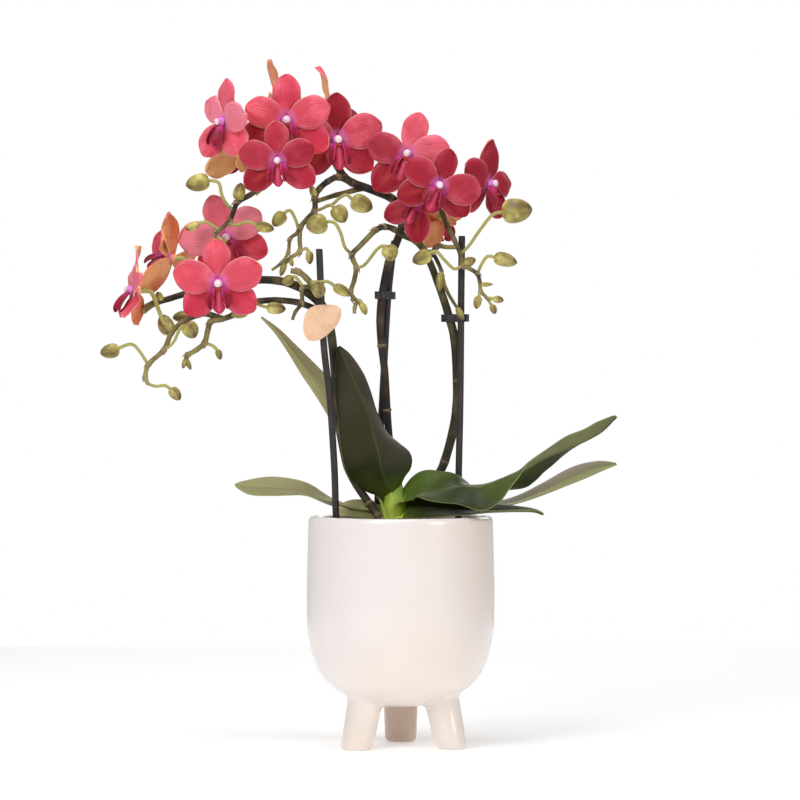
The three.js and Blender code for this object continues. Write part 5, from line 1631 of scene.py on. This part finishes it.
# One lip in the bloom's own frame, of which every bloom gets a copy.
mould = Skin()
column_line = smooth_line(COLUMN_LINE, COLUMN_STEPS)
column_radii = [COLUMN_RADIUS - COLUMN_TAPER * k for k in range(len(column_line))]
mould.patch(*tube(column_line, column_radii, COLUMN_SIDES), column=1.0)
cap_rings = []
for i in range(CAP_ROWS):
    angle = pi * (i + 0.2) / CAP_ROWS
    cap_rings.append([
        [
            middle + half * share for middle, half, share in
            zip(CAP_AT, CAP_HALF, (sin(angle) * cos(turn), sin(angle) * sin(turn), -cos(angle)))
        ]
        for turn in turns(COLUMN_SIDES)
    ])
mould.patch(*ring_patch(cap_rings), cap=1.0)
for side in (-1, 1):
    rows = []
    for i in range(LOBE_ROWS):
        share = i / (LOBE_ROWS - 1)
        width = LOBE_HALF * sin(pi * (0.1 + 0.86 * share)) ** 0.7
        spine = Vector((
            side * (2.4 + 2.2 * sin(pi * 0.75 * share)),
            -1.2 - 9.6 * share,
            3.3 + 4.4 * sin(0.5 * pi * share),
        ))
        out = Vector((side * 0.74, 0.1, -0.66))
        curl = [spine + out * width * v + Vector((0, 0, 0.9 * v**2)) for v in LOBE_SHARES]
        rows.append(curl)
    corners, faces, paint = sheet(rows, LOBE_THICKNESS)
    mould.patch(corners, faces, lobe=1.0, **paint)
corners, faces, paint = sheet([
    [
        Vector((half * v, y - 0.4 * v * v, z + (0.7 - 0.25 * half) * v * v))
        for v in TONGUE_SHARES
    ]
    for half, y, z in smooth_line(TONGUE, TONGUE_STEPS)
], TONGUE_THICKNESS)
mould.patch(corners, faces, tongue=1.0, **paint)
for side in (-1, 1):
    knob = [circle(radius, z, 10, (side * 0.8, -2.2)) for radius, z in CALLUS_RINGS]
    mould.patch(*ring_patch(knob), callus=1.0)

lip = Finish("lip_tissue")
cloud = lip.noise(200, 3)
across = lip.painted("across")
aside = across * across
lobe = lip.painted("lobe")
lip_material = lip.surface(
    Base_Color=lip.coats(
        LIP_MAROON,
        (cloud.step(0.4, 0.7), LIP_CRIMSON),
        (lip.painted("tongue"), lip.blend(aside.step(0.16, 0.0), LIP_MAGENTA, LIP_PINK)),
        (lip.painted("along").step(0.4, 0.05) * lobe * 0.6, LIP_VIOLET),
        (aside.step(0.7, 1.0) * lobe * 0.25, LIP_PINK),
        (lip.painted("callus") * 0.9, LIP_ORANGE),
        (lip.painted("column"), COLUMN_VIOLET),
        (lip.painted("cap"), CAP_WHITE),
    ),
    Roughness=0.45 + 0.15 * cloud,
    Specular_IOR_Level=0.3,
    Normal=lip.bump(cloud, 0.1),
    Subsurface_Weight=0.15,
    Subsurface_Radius=(0.003, 0.001, 0.001),
)
for name, bloom in BLOOMS.items():
    tip = Matrix.Rotation(-radians(bloom["lip_lean"]), 4, "X")
    place = bloom_places[name] @ tip @ Matrix.Scale(LIP_SCALE, 4)
    skin = Skin()
    skin.patch([place @ corner for corner in mould.corners], mould.faces, **mould.paint)
    skin.piece(f"column_{name}", lip_material, f"{name}_lip")


# ----------------------------------------------------------------------------------------- floor
# Floor: a seamless pale studio sheet under the plant. It isn't part of the object.
FLOOR_SIZE = 1.6
PAPER_WHITE = (0.93, 0.93, 0.93, 1)
PAPER_GREY = (0.9, 0.9, 0.9, 1)

backdrop = Finish("paper_floor")
floor_material = backdrop.surface(
    Base_Color=backdrop.blend(backdrop.noise(3, 2) * 0.1, PAPER_WHITE, PAPER_GREY),
    Roughness=0.9,
    Emission_Color=(1, 1, 1, 1),
    Emission_Strength=0.28,
)
floor_mesh = bpy.data.meshes.new("floor")
reach = FLOOR_SIZE / 2
square = [(x * reach, y * reach, 0) for x, y in ((-1, -1), (1, -1), (1, 1), (-1, 1))]
floor_mesh.from_pydata(square, [], [(0, 1, 2, 3)])
floor_mesh.materials.append(floor_material)
stand("floor", floor_mesh)
